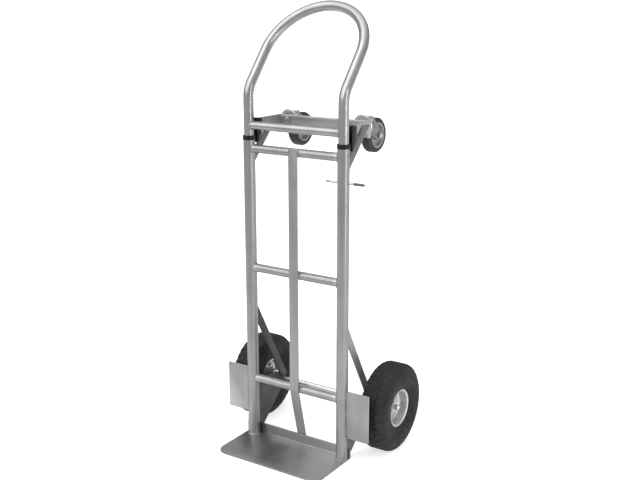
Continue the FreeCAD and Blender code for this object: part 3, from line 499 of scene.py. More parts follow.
def rounded(points, radius=0.0, steps=4):
    """A closed outline with its corners rounded: points are (u, v) or (u, v, corner radius).

    A corner takes up no more than SIDE_SHARE of the sides next to it.
    """
    result = []
    count = len(points)
    for i, point in enumerate(points):
        here = Vector(point[:2])
        before = Vector(points[i - 1][:2]) - here
        after = Vector(points[(i + 1) % count][:2]) - here
        limit = SIDE_SHARE * min(before.length, after.length)
        corner = point[2] if len(point) > 2 else radius
        half = before.angle(after) / 2
        if corner <= 0 or half > math.pi / 2 - NEARLY_STRAIGHT:
            result.append(tuple(here))
            continue
        back = min(corner / math.tan(half), limit)
        start = here + before.normalized() * back
        end = here + after.normalized() * back
        for k in range(steps + 1):
            t = k / steps
            bend = start * (1 - t) ** 2 + here * 2 * t * (1 - t) + end * t ** 2
            result.append(tuple(bend))
    return result


def section_frames(path, closed=False):
    """Directions across a path at each point, turning as little as possible along it."""
    count = len(path)
    tangents = []
    for i in range(count):
        before = path[i - 1] if closed or i > 0 else path[i]
        after = path[(i + 1) % count] if closed or i < count - 1 else path[i]
        tangents.append((after - before).normalized())
    normal = tangents[0].orthogonal().normalized()
    frames = []
    for tangent in tangents:
        normal = (normal - tangent * normal.dot(tangent)).normalized()
        frames.append((normal, tangent.cross(normal)))
    return frames


def ring(centre, across, up, radius, segments):
    """Points evenly round a circle."""
    angles = [2 * math.pi * j / segments for j in range(segments)]
    return [centre + (across * math.cos(angle) + up * math.sin(angle)) * radius for angle in angles]


def swept(path, radius_at, segments=16, closed=False):
    """Points and faces of a round section carried along a path; radius_at(i) is its radius there."""
    vertices = []
    for i, (centre, turn) in enumerate(zip(path, section_frames(path, closed))):
        vertices += ring(centre, *turn, radius_at(i), segments)
    faces = grid_faces(len(path), segments, closed)
    if not closed:
        faces += end_faces(len(path), segments)
    return vertices, faces


def end_faces(rows, segments):
    """The flat faces that close the first and the last ring."""
    last = (rows - 1) * segments
    return [tuple(reversed(range(segments))), tuple(range(last, last + segments))]


PIPE_LIP = 0.4 * MM


def pipe(name, path, outer, inner, segments):
    """A hollow tube along a path, open at its ends, with their outer edges chamfered."""
    frames = section_frames(path)
    to_second = (path[1] - path[0]).normalized()
    to_last = (path[-1] - path[-2]).normalized()
    outside = [(path[0], frames[0], outer - PIPE_LIP), (path[0] + to_second * PIPE_LIP, frames[0], outer)]
    outside += [(centre, turn, outer) for centre, turn in zip(path[1:-1], frames[1:-1])]
    outside += [(path[-1] - to_last * PIPE_LIP, frames[-1], outer),
                (path[-1], frames[-1], outer - PIPE_LIP)]
    inside = [(centre, turn, inner) for centre, turn, _ in reversed(outside)]
    vertices = []
    for centre, turn, radius in outside + inside:
        vertices += ring(centre, *turn, radius, segments)
    return mesh_of(name, vertices, grid_faces(len(outside + inside), segments, True))


SAME_PLACE = 2e-6
SAME_PLANE = math.radians(1.0)


def refined(node, bevel, segments=3, material=None, limit=30.0):
    """Stands in for a CAD node: the same shape, with edges sharper than limit degrees rounded."""
    source = frame["nodes"][node]
    work = bmesh.new()
    work.from_mesh(source.data)
    bmesh.ops.remove_doubles(work, verts=work.verts, dist=SAME_PLACE)
    bmesh.ops.dissolve_limit(work, angle_limit=SAME_PLANE, verts=work.verts, edges=work.edges)
    mesh = bpy.data.meshes.new(node + "_body")
    work.to_mesh(mesh)
    work.free()
    piece = add_piece(node + "_body", mesh, BODY_OF[node], SLOT_OF[node], material, (node,))
    round_off = piece.modifiers.new("round", "BEVEL")
    round_off.width = bevel
    round_off.segments = segments
    round_off.limit_method = "ANGLE"
    round_off.angle_limit = math.radians(limit)
    round_off.miter_outer = "MITER_ARC"
    apply_modifiers(piece)
    finish_mesh(piece.data)
    return piece


def apply_modifiers(piece):
    bpy.context.view_layer.update()
    evaluated = piece.evaluated_get(bpy.context.evaluated_depsgraph_get())
    mesh = bpy.data.meshes.new_from_object(evaluated)
    piece.modifiers.clear()
    piece.data = mesh


def flip_outwards(mesh):
    work = bmesh.new()
    work.from_mesh(mesh)
    bmesh.ops.recalc_face_normals(work, faces=work.faces)
    work.to_mesh(mesh)
    work.free()


def block(name, low, high):
    """A box mesh to cut with."""
    corners = [(x, y, z) for z in (low[2], high[2]) for y in (low[1], high[1]) for x in (low[0], high[0])]
    faces = [(0, 2, 3, 1), (4, 5, 7, 6), (0, 1, 5, 4), (2, 6, 7, 3), (0, 4, 6, 2), (1, 3, 7, 5)]
    return mesh_of(name, corners, faces)


def lathe(profile, centre, axis, segments=64):
    """Points and faces of a solid turned from an open outline of (along, radius), flat at both ends."""
    axis = Vector(axis).normalized()
    across = Vector((0, 1, 0)) if abs(axis.y) < 0.9 else Vector((1, 0, 0))
    up = axis.cross(across)
    vertices = []
    for along, radius in profile:
        vertices += ring(centre + axis * along, across, up, radius, segments)
    return vertices, grid_faces(len(profile), segments) + end_faces(len(profile), segments)


def joined(name, parts, body, slot, material=None, replaced=(), sharp=32.0):
    """One piece from several (vertices, faces) or meshes."""
    work = bmesh.new()
    for part in parts:
        mesh = part if isinstance(part, bpy.types.Mesh) else mesh_of(name + "_part", *part)
        work.from_mesh(mesh)
        bpy.data.meshes.remove(mesh)
    bmesh.ops.recalc_face_normals(work, faces=work.faces)
    mesh = bpy.data.meshes.new(name)
    work.to_mesh(mesh)
    work.free()
    return add_piece(name, mesh, body, slot, material, replaced, sharp)


# ---- welds -------------------------------------------------------------------

RIPPLE = 2.6 * MM
BEAD_WIDTH = 2.6 * MM
PLATE_BEAD = 1.9 * MM
STRAP_BEAD = 2.0 * MM
WELD_SHARP = 60.0
BEAD_STEPS_PER_RIPPLE = 4
SADDLE_STEPS = 40
SUNK = 0.6 * MM
PLATE_SUNK = 0.3 * MM
# stitches, in millimetres: where they start, or how far apart they are, and how long they are
GUARD_STITCHES = 3
GUARD_FIRST = 10
GUARD_STEP = 50
GUARD_STITCH = 26
BRACKET_STARTS = (42, 92, 140)
BRACKET_STITCH = 28
LOWER_BRACE_STITCH = 50
UPPER_BRACE_STITCH = 35
STRAP_FOOT = (9, 30)
# up the outer side of a rail's foot: degrees towards the front, and the top's height in millimetres
FOOT_STITCHES = ((8, 34), (26, 46), (44, 30))


def bead(path, width=BEAD_WIDTH, closed=False, seed=0):
    """A weld bead: a round section that swells and shrinks along its ripples and tapers at its ends."""
    spaced = resampled(path, RIPPLE / BEAD_STEPS_PER_RIPPLE, closed)
    chance = random.Random(seed)
    phase = chance.random() * 6

    def radius_at(i):
        ripple = 0.5 + 0.5 * math.cos(math.pi / 2 * i + phase)
        end = 1.0 if closed else min(1.0, 0.35 + 0.25 * min(i, len(spaced) - 1 - i))
        return width * (0.86 + 0.16 * ripple + 0.06 * noise.noise(spaced[i] * 400)) * end

    return swept(spaced, radius_at, 10, closed)


def resampled(path, step, closed=False):
    """The same line with evenly spaced points."""
    points = list(path) + ([path[0]] if closed else [])
    lengths = [0.0]
    for a, b in zip(points, points[1:]):
        lengths.append(lengths[-1] + (b - a).length)
    count = max(4, round(lengths[-1] / step))
    result = []
    k = 0
    for i in range(count if closed else count + 1):
        target = lengths[-1] * i / count
        while k < len(points) - 2 and lengths[k + 1] < target:
            k += 1
        t = (target - lengths[k]) / max(lengths[k + 1] - lengths[k], 1e-9)
        result.append(points[k].lerp(points[k + 1], t))
    return result


def saddle(post_x, post_y, post_radius, height, bar_radius, side):
    """The line where a crossbar meets an upright."""
    points = []
    for i in range(SADDLE_STEPS):
        angle = 2 * math.pi * i / SADDLE_STEPS
        y = bar_radius * math.cos(angle)
        x = post_x - side * math.sqrt(post_radius ** 2 - y ** 2)
        points.append(Vector((x, post_y + y, height + bar_radius * math.sin(angle))))
    return points


def line(start, end, steps=2):
    start, end = Vector(start), Vector(end)
    return [start.lerp(end, i / steps) for i in range(steps + 1)]


def add_upright(beads, x, y, low, high, width):
    """A bead that runs straight up a joint."""
    beads.append(bead(line((x, y, low), (x, y, high)), width, seed=len(beads)))


def weld_bars(beads):
    """Rings where the crossbars meet the rails."""
    for bar in BARS:
        for _, side in SIDES:
            path = saddle(side * RAIL_X, RAIL_Y, RAIL_R, middle(bar).z, BAR_R, side)
            beads.append(bead(path, closed=True, seed=len(beads)))


def weld_strap_to_bars(beads):
    strap_low, strap_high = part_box("centre_strap")
    contact_y = RAIL_Y - BAR_R + 0.5 * MM
    half = 7 * MM
    for bar in BARS[1:]:
        for x in (strap_low.x, strap_high.x):
            z = middle(bar).z
            add_upright(beads, x, contact_y, z - half, z + half, STRAP_BEAD)


def weld_rail_foot(beads, side):
    """Round the front of a rail's foot, up the toe plate's flange behind it, and up its outer side."""
    plate_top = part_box("right_rail")[0].z
    centre_x = side * RAIL_X
    foot = []
    for i in range(41):
        a = math.radians(170 + 5 * i)
        x, y = centre_x + RAIL_R * math.cos(a), RAIL_Y + RAIL_R * math.sin(a)
        foot.append(Vector((x, y, plate_top + SUNK)))
    beads.append(bead(foot, 2.8 * MM, seed=len(beads)))
    flange_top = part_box("toe_plate")[1].z
    for lean in (-1, 1):
        x = centre_x + lean * 7 * MM
        add_upright(beads, x, RAIL_Y + RAIL_R - SUNK, plate_top + 2 * MM, flange_top, 2.2 * MM)
    for k, (lean, top) in enumerate(FOOT_STITCHES):
        a = math.radians(-lean if side > 0 else 180 + lean)
        reach = RAIL_R - PLATE_SUNK
        x, y = centre_x + reach * math.cos(a), RAIL_Y + reach * math.sin(a)
        add_upright(beads, x, y, plate_top + 1 * MM, top * MM, (2.6 - 0.3 * k) * MM)


def weld_guard(beads, name, side):
    """Three stitches on each face of a wheel guard, along its rail."""
    low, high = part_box(name + "_wheel_guard")
    x = side * (min(abs(low.x), abs(high.x)) - 0.2 * MM)
    for face_y in (low.y, high.y):
        for k in range(GUARD_STITCHES):
            z = low.z + (GUARD_FIRST + GUARD_STEP * k) * MM
            add_upright(beads, x, face_y, z, z + GUARD_STITCH * MM, PLATE_BEAD)


def weld_axle_bracket(beads, name):
    """Three stitches on each face of an axle bracket, along its rail."""
    low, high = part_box(name + "_axle_bracket")
    for face_x in (low.x, high.x):
        for start in BRACKET_STARTS:
            z = start * MM
            add_upright(beads, face_x, low.y - PLATE_SUNK, z, z + BRACKET_STITCH * MM, PLATE_BEAD)


def weld_braces(beads, name):
    """One bead on each face, at the lower brace's top and at the upper brace's foot."""
    lower_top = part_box(name + "_lower_brace")[1].z
    upper_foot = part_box(name + "_upper_brace")[0].z
    stitches = (("_lower_brace", lower_top - LOWER_BRACE_STITCH * MM, lower_top - 1 * MM),
                ("_upper_brace", upper_foot + 1 * MM, upper_foot + UPPER_BRACE_STITCH * MM))
    for brace, start, end in stitches:
        low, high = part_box(name + brace)
        for face_x in (low.x, high.x):
            add_upright(beads, face_x, low.y - PLATE_SUNK, start, end, PLATE_BEAD)


def weld_strap_foot(beads):
    """Where the strap's edges stand against the back of the toe plate's flange."""
    strap_low, strap_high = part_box("centre_strap")
    foot_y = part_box("toe_plate")[1].y
    low, high = STRAP_FOOT
    for x in (strap_low.x, strap_high.x):
        add_upright(beads, x, foot_y, low * MM, high * MM, STRAP_BEAD)


def frame_welds():
    beads = []
    weld_bars(beads)
    weld_strap_to_bars(beads)
    for name, side in SIDES:
        weld_rail_foot(beads, side)
        weld_guard(beads, name, side)
        weld_axle_bracket(beads, name)
        weld_braces(beads, name)
    weld_strap_foot(beads)
    joined("frame_welds", beads, "frame", "silver_steel", WELD, sharp=WELD_SHARP)


def handle_welds():
    """Rings where the handle's crossbar meets its legs."""
    height = middle("handle_crossbar").z
    beads = []
    for _, side in SIDES:
        path = saddle(side * RAIL_X, RAIL_Y, HANDLE_R, height, BAR_R, side)
        beads.append(bead(path, closed=True, seed=90 + len(beads)))
    joined("handle_welds", beads, "handle", "silver_steel", WELD, sharp=WELD_SHARP)


# ---- tubes -------------------------------------------------------------------

def bored(piece, cutter_mesh):
    """Cuts a closed mesh out of a piece."""
    cutter = bpy.data.objects.new(piece.name + "_cutter", cutter_mesh)
    bpy.context.scene.collection.objects.link(cutter)
    cut = piece.modifiers.new("cut", "BOOLEAN")
    cut.operation = "DIFFERENCE"
    cut.solver = "EXACT"
    cut.object = cutter
    apply_modifiers(piece)
    bpy.data.objects.remove(cutter)
    finish_mesh(piece.data)


def make_rails():
    pin_z = middle("release_pin").z
    pin_hole = extent("release_pin").z / 2 + 0.3 * MM
    for name, side in SIDES:
        low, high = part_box(name + "_rail")
        foot, top = Vector((side * RAIL_X, RAIL_Y, low.z)), Vector((side * RAIL_X, RAIL_Y, high.z))
        mesh = pipe(name + "_rail_tube", line(foot, top, 24), RAIL_R, RAIL_R - TUBE_WALL, 96)
        rail = add_piece(name + "_rail_tube", mesh, "frame", "silver_steel", replaced=(name + "_rail",))
        if name == "right":
            start = Vector((RAIL_X - 2 * RAIL_R, RAIL_Y, pin_z))
            end = Vector((RAIL_X + 2 * RAIL_R, RAIL_Y, pin_z))
            bored(rail, mesh_of("pin_way", *swept([start, end], lambda i: pin_hole, 32)))


def make_crossbar(node, post_radius, material=None):
    """A tube whose ends are coped to the round sides of its two uprights."""
    height = middle(node).z
    around, steps = 72, 16
    vertices = []
    for radius, order in ((BAR_R, 1), (BAR_R - TUBE_WALL, -1)):
        for k in range(steps + 1):
            for j in range(around):
                angle = 2 * math.pi * j / around
                y = radius * math.cos(angle)
                reach = RAIL_X - math.sqrt(post_radius ** 2 - y ** 2)
                x = order * reach * (2 * k / steps - 1)
                vertices.append((x, RAIL_Y + y, height + radius * math.sin(angle)))
    mesh = mesh_of(node + "_tube", vertices, grid_faces(2 * (steps + 1), around, True))
    add_piece(node + "_tube", mesh, BODY_OF[node], "silver_steel", material, (node,))


HANDLE_R = 14.5 * MM
HANDLE_WALL = 1.8 * MM
HANDLE_BEND = 70 * MM
HANDLE_CORNER = 1042 * MM
HANDLE_LEAN = math.radians(39)
HANDLE_STRAIGHT = 132 * MM
BEND_STEPS = 12
BOW_STEPS = 32


def handle_line():
    """The handle's centreline from the foot of its left leg over the bow to the foot of its right leg."""
    sine, cosine = math.sin(HANDLE_LEAN), math.cos(HANDLE_LEAN)
    turn_start = HANDLE_CORNER - HANDLE_BEND * math.tan(HANDLE_LEAN / 2)
    half = line((RAIL_X, RAIL_Y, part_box("handle_loop")[0].z), (RAIL_X, RAIL_Y, turn_start), 12)[:-1]
    for i in range(BEND_STEPS + 1):
        angle = HANDLE_LEAN * i / BEND_STEPS
        back = HANDLE_BEND * (1 - math.cos(angle))
        half.append(Vector((RAIL_X, RAIL_Y + back, turn_start + HANDLE_BEND * math.sin(angle))))
    bow_y = RAIL_Y + HANDLE_STRAIGHT * sine
    bow_z = HANDLE_CORNER + HANDLE_STRAIGHT * cosine
    for i in range(BOW_STEPS + 1):
        angle = math.pi / 2 * i / BOW_STEPS
        rise = RAIL_X * math.sin(angle)
        half.append(Vector((RAIL_X * math.cos(angle), bow_y + rise * sine, bow_z + rise * cosine)))
    return [Vector((-p.x, p.y, p.z)) for p in half[:-1]] + list(reversed(half))


def make_handle():
    """The bent tube, slotted at its right foot to stand astride the release pin, and its crossbar."""
    mesh = pipe("handle_tube", handle_line(), HANDLE_R, HANDLE_R - HANDLE_WALL, 80)
    handle = add_piece("handle_tube", mesh, "handle", "silver_steel", LIT_BOW, ("handle_loop",))
    slot = extent("release_pin").z / 2 + 0.4 * MM
    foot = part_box("handle_loop")[0].z - 1 * MM
    top = middle("release_pin").z + slot
    reach = 30 * MM
    low = (RAIL_X - reach, RAIL_Y - slot, foot)
    high = (RAIL_X + reach, RAIL_Y + slot, top)
    bored(handle, block("pin_slot", low, high))
    make_crossbar("handle_crossbar", HANDLE_R, LIT_BOW)


def make_pin():
    """The release pin, with a tapered nose and a ring groove."""
    low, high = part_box("release_pin")
    centre = Vector((low.x, RAIL_Y, middle("release_pin").z))
    length, radius = high.x - low.x, (high.z - low.z) / 2
    groove = radius - 0.6 * MM
    nose = [(0, radius * 0.35), (0.6 * MM, radius * 0.62), (2.5 * MM, radius), (10 * MM, radius),
            (10.6 * MM, groove), (12 * MM, groove), (12.6 * MM, radius), (length, radius)]
    mesh = mesh_of("pin_rod", *lathe(nose, centre, X_AXIS, 40))
    add_piece("pin_rod", mesh, "pin", "zinc_hardware", SHADED_FORK_STEEL, ("release_pin",))


def make_pin_grip():
    """The ribbed grip; the ribs' places and widths are shares of its length."""
    low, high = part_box("pin_grip")
    length, radius = high.x - low.x, (high.z - low.z) / 2
    first, step, width, foot = 0.06, 0.105, 0.06, 0.075
    ribs = [(0, radius * 0.9)]
    for i in range(8):
        start = length * (first + step * i)
        ribs += [(start, radius), (start + width * length, radius), (start + foot * length, radius * 0.86)]
    ribs += [(length * 0.94, radius), (length * 0.985, radius * 0.8), (length, radius * 0.4)]
    centre = Vector((low.x, RAIL_Y, middle("release_pin").z))
    mesh = mesh_of("pin_grip_ribs", *lathe(ribs, centre, X_AXIS, 40))
    add_piece("pin_grip_ribs", mesh, "pin", "black_moulding", GRIP, ("pin_grip",))


# ---- plates ------------------------------------------------------------------

PLATE_ROUND = 0.7 * MM
FLAT_FACE = 0.6


def make_plates():
    refined("centre_strap", PLATE_ROUND)
    toe = refined("toe_plate", 0.9 * MM, 4)
    # the plate's front and side edges take the painted-shade edge material
    toe.data.materials.append(SHADED_EDGE)
    rail_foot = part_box("right_rail")[0]
    for face in toe.data.polygons:
        if abs(face.normal.z) < FLAT_FACE and face.center.y < rail_foot.y and face.center.z < rail_foot.z:
            face.material_index = 1
    # the caster bracket takes the silver coat painted lighter
    refined("caster_bracket", 0.8 * MM, material=LIT_BRACKET_COAT)
    for name, side in SIDES:
        refined(name + "_wheel_guard", PLATE_ROUND)
        # painted shade on the braces and axle brackets, deepest on the left; the right lower brace is painted
        # lighter
        refined(name + "_upper_brace", PLATE_ROUND, material=SHADED_PLATE)
        refined(name + "_axle_bracket", PLATE_ROUND, material=DEEP_SHADE_PLATE if side < 0 else SHADED_PLATE)
        refined(name + "_lower_brace", PLATE_ROUND, material=DEEP_SHADE_PLATE if side < 0 else LIT_PLATE)


SOCKET_HALF = 17 * MM
SOCKET_RIBS = 4
SOCKET_RIB_R = 1.1 * MM
RIB_STEPS = 8


def rib(start, end, radius):
    """A short straight round-ended ridge."""
    path = line(start, end, RIB_STEPS)
    return swept(path, lambda i: radius * (0.45 if i in (0, RIB_STEPS) else 1.0), 10)


def make_mouldings():
    """The socket blocks, with grip ribs on their sides."""
    for name, side in SIDES:
        node = name + "_socket_block"
        refined(node, 1.3 * MM, 4, limit=40)
        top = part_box(node)[1].z
        parts = []
        for face in (-1, 1):
            x = side * RAIL_X + face * SOCKET_HALF
            for k in range(SOCKET_RIBS):
                z = top - (9 + 8 * k) * MM
                parts.append(rib((x, RAIL_Y + 19 * MM, z), (x, RAIL_Y + 36 * MM, z), SOCKET_RIB_R))
        joined(name + "_socket_ribs", parts, "frame", "black_moulding")


# ---- large wheels ------------------------------------------------------------

BEAD_HALF = 30.2 * MM
BEAD_OUTSIDE = 34.5 * MM
BEAD_SEAT = 51.2 * MM
FLANGE_TOP = 56.8 * MM
BULGE_LOW = 80 * MM
BULGE_HIGH = 102 * MM
SIDEWALL_ROUND = 34 * MM
SHOULDER_ROUND = 18 * MM
TREAD_FLAT = 30 * MM
OUTLINE_STEP = 1.7 * MM
CAVITY_MIDDLE = 86.5 * MM
CAVITY_R = 37 * MM
# rings on the sidewall, in millimetres: radius, width, height
SIDE_RIDGES = ((62, 1.6, 1.1), (70, 1.0, 0.5), (95, 1.2, 0.7), (105, 2.2, 0.9))
RIDGES_FROM = 34 * MM
RIDGES_TO = 114 * MM
RIDGES_FADE = 4 * MM
RIDGES_SUNK = 0.9 * MM


def side_relief(along, radius):
    """How far a point of the sidewall moves out for its rings."""
    ridge = sum(math.exp(-((radius - place * MM) / (width * MM)) ** 2) * lift * MM
                for place, width, lift in SIDE_RIDGES)
    return (ridge - RIDGES_SUNK) * min(1.0, (abs(along) - RIDGES_FROM) / RIDGES_FADE)


def tyre_outline(radius, half):
    """(along, radius) from bead to bead over the tread, finely spaced, then back inside the carcass."""
    corners = [(-BEAD_HALF, BEAD_SEAT, 0), (-BEAD_HALF, FLANGE_TOP, 0), (-BEAD_OUTSIDE, FLANGE_TOP, 2 * MM),
               (-half, BULGE_LOW, SIDEWALL_ROUND), (-half, BULGE_HIGH, SIDEWALL_ROUND),
               (-TREAD_FLAT, radius, SHOULDER_ROUND)]
    corners += [(-u, v, r) for u, v, r in reversed(corners)]
    outside = [Vector((u, v, 0)) for u, v in rounded(corners, steps=10)]
    shaped = []
    for point in resampled(outside, OUTLINE_STEP):
        u, v = point.x, point.y
        if abs(u) > RIDGES_FROM and v < RIDGES_TO:
            u += math.copysign(1.0, u) * side_relief(u, v)
        shaped.append((u, v))
    open_angle = math.asin((CAVITY_MIDDLE - BEAD_SEAT) / CAVITY_R)
    inside = []
    for i in range(21):
        angle = -open_angle + (math.pi + 2 * open_angle) * i / 20
        inside.append((CAVITY_R * math.cos(angle), CAVITY_MIDDLE + CAVITY_R * math.sin(angle)))
    return shaped + inside


LUGS = 36
STEPS_PER_LUG = 11
TREAD_DEPTH = 2.8 * MM
TREAD_HALF = 34 * MM
TREAD_REACH = 42 * MM
TREAD_FROM = 112 * MM
TREAD_FADE = 7 * MM
# the pattern's places and half-widths: across it 1 is TREAD_HALF, and round it 1 is one lug
GROOVES = (-0.42, 0, 0.42)
GROOVE_HALF = 0.065
LUG_GAP_HALF = 0.17
LUGS_FROM = 0.46
SIPE_HALF = 0.09
SIPES_TO = 0.36


def clamped(value):
    return min(1.0, max(0.0, value))


def tread(angle, along, radius):
    """How deep the tread is cut: gaps between staggered shoulder lugs, zigzag grooves, shallow sipes."""
    if radius < TREAD_FROM or abs(along) > TREAD_REACH:
        return 0.0
    fade = clamped((radius - TREAD_FROM) / TREAD_FADE)
    across = along / TREAD_HALF
    turn = angle / (2 * math.pi) * LUGS
    wave = abs((turn % 1) * 2 - 1) - 0.5
    lug = (turn + (0.5 if along > 0 else 0.0) + 0.25 * abs(across)) % 1
    gap = clamped((LUG_GAP_HALF - abs(lug - 0.5)) / 0.05) if abs(across) > LUGS_FROM else 0.0
    groove = max(clamped((GROOVE_HALF - abs(across - place - 0.10 * wave)) / 0.025) for place in GROOVES)
    sipe = 0.6 * clamped((SIPE_HALF - abs((turn + 0.5 * across) % 1 - 0.5)) / 0.04)
    return TREAD_DEPTH * fade * max(gap, groove, sipe if abs(across) < SIPES_TO else 0.0)


# Outlines in millimetres: along the axle, radius and, for some, the corner's own radius.
DISH = ((0.1, 20.1, 0), (0.1, 44.9, 3), (4.5, 50.8, 2), (30.5, 50.8, 2.2), (30.5, 56.5, 0.4),
        (31.6, 57.3, 0.8), (32.4, 56.5, 0.6), (32.4, 48.9, 3.2), (5.4, 48.9, 2.4), (2.0, 44.2, 2),
        (2.0, 42.5, 0.8), (3.3, 41, 0.9), (3.3, 25.5, 0.9), (2.0, 24, 0.8), (2.0, 20.1, 0))
HUB = ((-43, 17, 0.5), (-43, 20, 1), (-5.3, 20, 0.8), (-5.3, 40, 1), (-2.2, 40, 0.6), (-2.2, 20, 0),
       (14, 20, 1.2), (14, 17, 0.6), (3, 17, 0), (3, 12, 0), (-32, 12, 0), (-32, 17, 0))
VALVE = ((0, 2), (1, 4), (8, 4), (9, 3.2), (13, 3.2), (13.2, 2.6), (14, 2.6), (14.2, 3.3),
         (19.3, 3.3), (20, 2.6))
SEAL_BORE = 10.5
SEAL_OUTSIDE = 15.2
SEAL_THICK = 0.9
SEAL_OUTER_PLACE = 13.4
SEAL_INNER_PLACE = 42.4
LIP_FROM = 52 * MM


def make_dish(name, face, wheel, centre, out):
    """One pressed half of the rim, its lip painted darker than the rest as shade."""
    mesh = turned(f"{name}_{face}_dish", in_mm(rounded(DISH, steps=5)), centre, out, 128)
    dish = add_piece(f"{name}_{face}_dish", mesh, wheel, "rim_zinc", replaced=(f"{name}_{face}_rim",))
    dish.data.materials.append(SHADED_RIM_LIP)
    # faces beyond LIP_FROM take the painted-shade lip material
    for spot in dish.data.polygons:
        if math.hypot(spot.center.y - centre.y, spot.center.z - centre.z) > LIP_FROM:
            spot.material_index = 1


def make_seals(name, wheel, centre, side):
    """The black seals that close the two bearings."""
    seals = []
    for face, near in ((1, SEAL_OUTER_PLACE), (-1, SEAL_INNER_PLACE)):
        far = near + SEAL_THICK
        seal = rounded([(near, SEAL_BORE, 0.3), (near, SEAL_OUTSIDE, 0.3), (far, SEAL_OUTSIDE, 0.4),
                        (far, SEAL_BORE, 0.4)], steps=3)
        seals.append(turned("seal", in_mm(seal), centre, (side * face, 0, 0), 64))
    joined(name + "_bearing_seals", seals, wheel, "bearing_steel", MATERIALS["black_moulding"])


def make_valve(name, wheel, centre):
    low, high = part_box(name + "_valve_stem")
    top = Vector(((low.x + high.x) / 2, centre.y, high.z))
    mesh = mesh_of(name + "_valve", *lathe(in_mm(VALVE), top, (0, 0, -1), 32))
    add_piece(name + "_valve", mesh, wheel, "tube_rubber", replaced=(name + "_valve_stem",))


def make_wheels():
    for name, side in SIDES:
        wheel = name + "_wheel"
        centre = Vector(joint(wheel + "_spin")["pos_m"])
        out = (side, 0, 0)
        size = extent(name + "_tyre")
        outline = tyre_outline(size.z / 2, size.x / 2)
        mesh = turned(name + "_tyre_tread", outline, centre, out, LUGS * STEPS_PER_LUG, tread)
        add_piece(name + "_tyre_tread", mesh, wheel, "tyre_rubber", replaced=(name + "_tyre",), sharp=50)
        make_dish(name, "outer", wheel, centre, out)
        make_dish(name, "inner", wheel, centre, (-side, 0, 0))
        mesh = turned(name + "_hub_body", in_mm(rounded(HUB)), centre, out, 96)
        add_piece(name + "_hub_body", mesh, wheel, "zinc_hardware", replaced=(name + "_hub",))
        make_seals(name, wheel, centre, side)
        refined(name + "_rim_bolts", 0.6 * MM, 2)
        make_valve(name, wheel, centre)


AXLE_LIP = 1.2 * MM
AXLE_WAY = 8.2 * MM
WASHER_R = 16 * MM
WASHER_THICK = 2.8 * MM
SPACER_R = 12 * MM
SPACER_START = 160.6 * MM
COTTER_INSET = 4.4 * MM
# a cotter pin's own sizes, in millimetres
COTTER_WIRE_R = 0.85
COTTER_EYE_R = 3.2
COTTER_EYE_PLACE = 13.4


def cotter_path(x, y, z):
    """Up one leg of a cotter pin, round its eye and down the other; (x, y, z) is on the axle."""
    def at(back, up):
        return Vector((x, y + back * MM, z + up * MM))

    path = [at(7, -16), at(3, -12), at(COTTER_WIRE_R, -8), at(COTTER_WIRE_R, 9)]
    for i in range(13):
        angle = math.radians(-70 + 320 * i / 12)
        path.append(at(COTTER_EYE_R * math.cos(angle), COTTER_EYE_PLACE + COTTER_EYE_R * math.sin(angle)))
    return path + [at(-COTTER_WIRE_R, 9), at(-COTTER_WIRE_R, -8), at(-3, -12), at(-6, -15)]


def make_axle():
    """The axle, its washers and spacers, and the cotter pins that hold the wheels on."""
    low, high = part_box("axle")
    y, z, radius = middle("axle").y, middle("axle").z, (high.z - low.z) / 2
    length, end = high.x - low.x, radius - AXLE_LIP
    rod = [(0, end), (AXLE_LIP, radius), (length - AXLE_LIP, radius), (length, end)]
    mesh = mesh_of("axle_rod", *lathe(rod, Vector((low.x, y, z)), X_AXIS, 64))
    add_piece("axle_rod", mesh, "frame", "zinc_hardware", replaced=("axle",))
    sizes = {"axle_washers": (WASHER_R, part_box("axle_washers")[1].x - WASHER_THICK),
             "axle_spacers": (SPACER_R, SPACER_START)}
    for node, (outer, near) in sizes.items():
        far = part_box(node)[1].x
        outline = rounded([(near, AXLE_WAY), (near, outer), (far, outer), (far, AXLE_WAY)], 0.5 * MM, 3)
        rings = [turned(node, outline, Vector((0, y, z)), (side, 0, 0), 64) for _, side in SIDES]
        joined(node + "_turned", rings, "frame", "zinc_hardware", replaced=(node,))
    cotter_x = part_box("cotter_pins")[1].x - COTTER_INSET
    wires = []
    for _, side in SIDES:
        wires.append(swept(cotter_path(side * cotter_x, y, z), lambda i: COTTER_WIRE_R * MM, 12))
    joined("cotter_wires", wires, "frame", "zinc_hardware", replaced=("cotter_pins",), sharp=60)


# ---- casters -----------------------------------------------------------------

def race_outline(rim):
    """The cup over a caster's balls; rim is its largest radius in millimetres."""
    bore = 6.1
    corners = [(0, bore), (0, rim - 1.5), (2, rim), (6.6, rim - 0.3), (6.6, rim - 2), (3, rim - 3.4),
               (2.8, bore)]
    return in_mm(rounded(corners, 1.2))


def caster_tread_outline(radius, half):
    """Round-shouldered rubber with one groove round its middle, from its radius and half width in mm."""
    corners = [(-half, radius - 13, 0), (-half, radius - 6, 5), (-half + 5, radius, 6), (-4, radius, 0.5),
               (-3, radius - 1.2, 0.5)]
    corners += [(-u, v, r) for u, v, r in reversed(corners)]
    return in_mm(rounded(corners, steps=6))


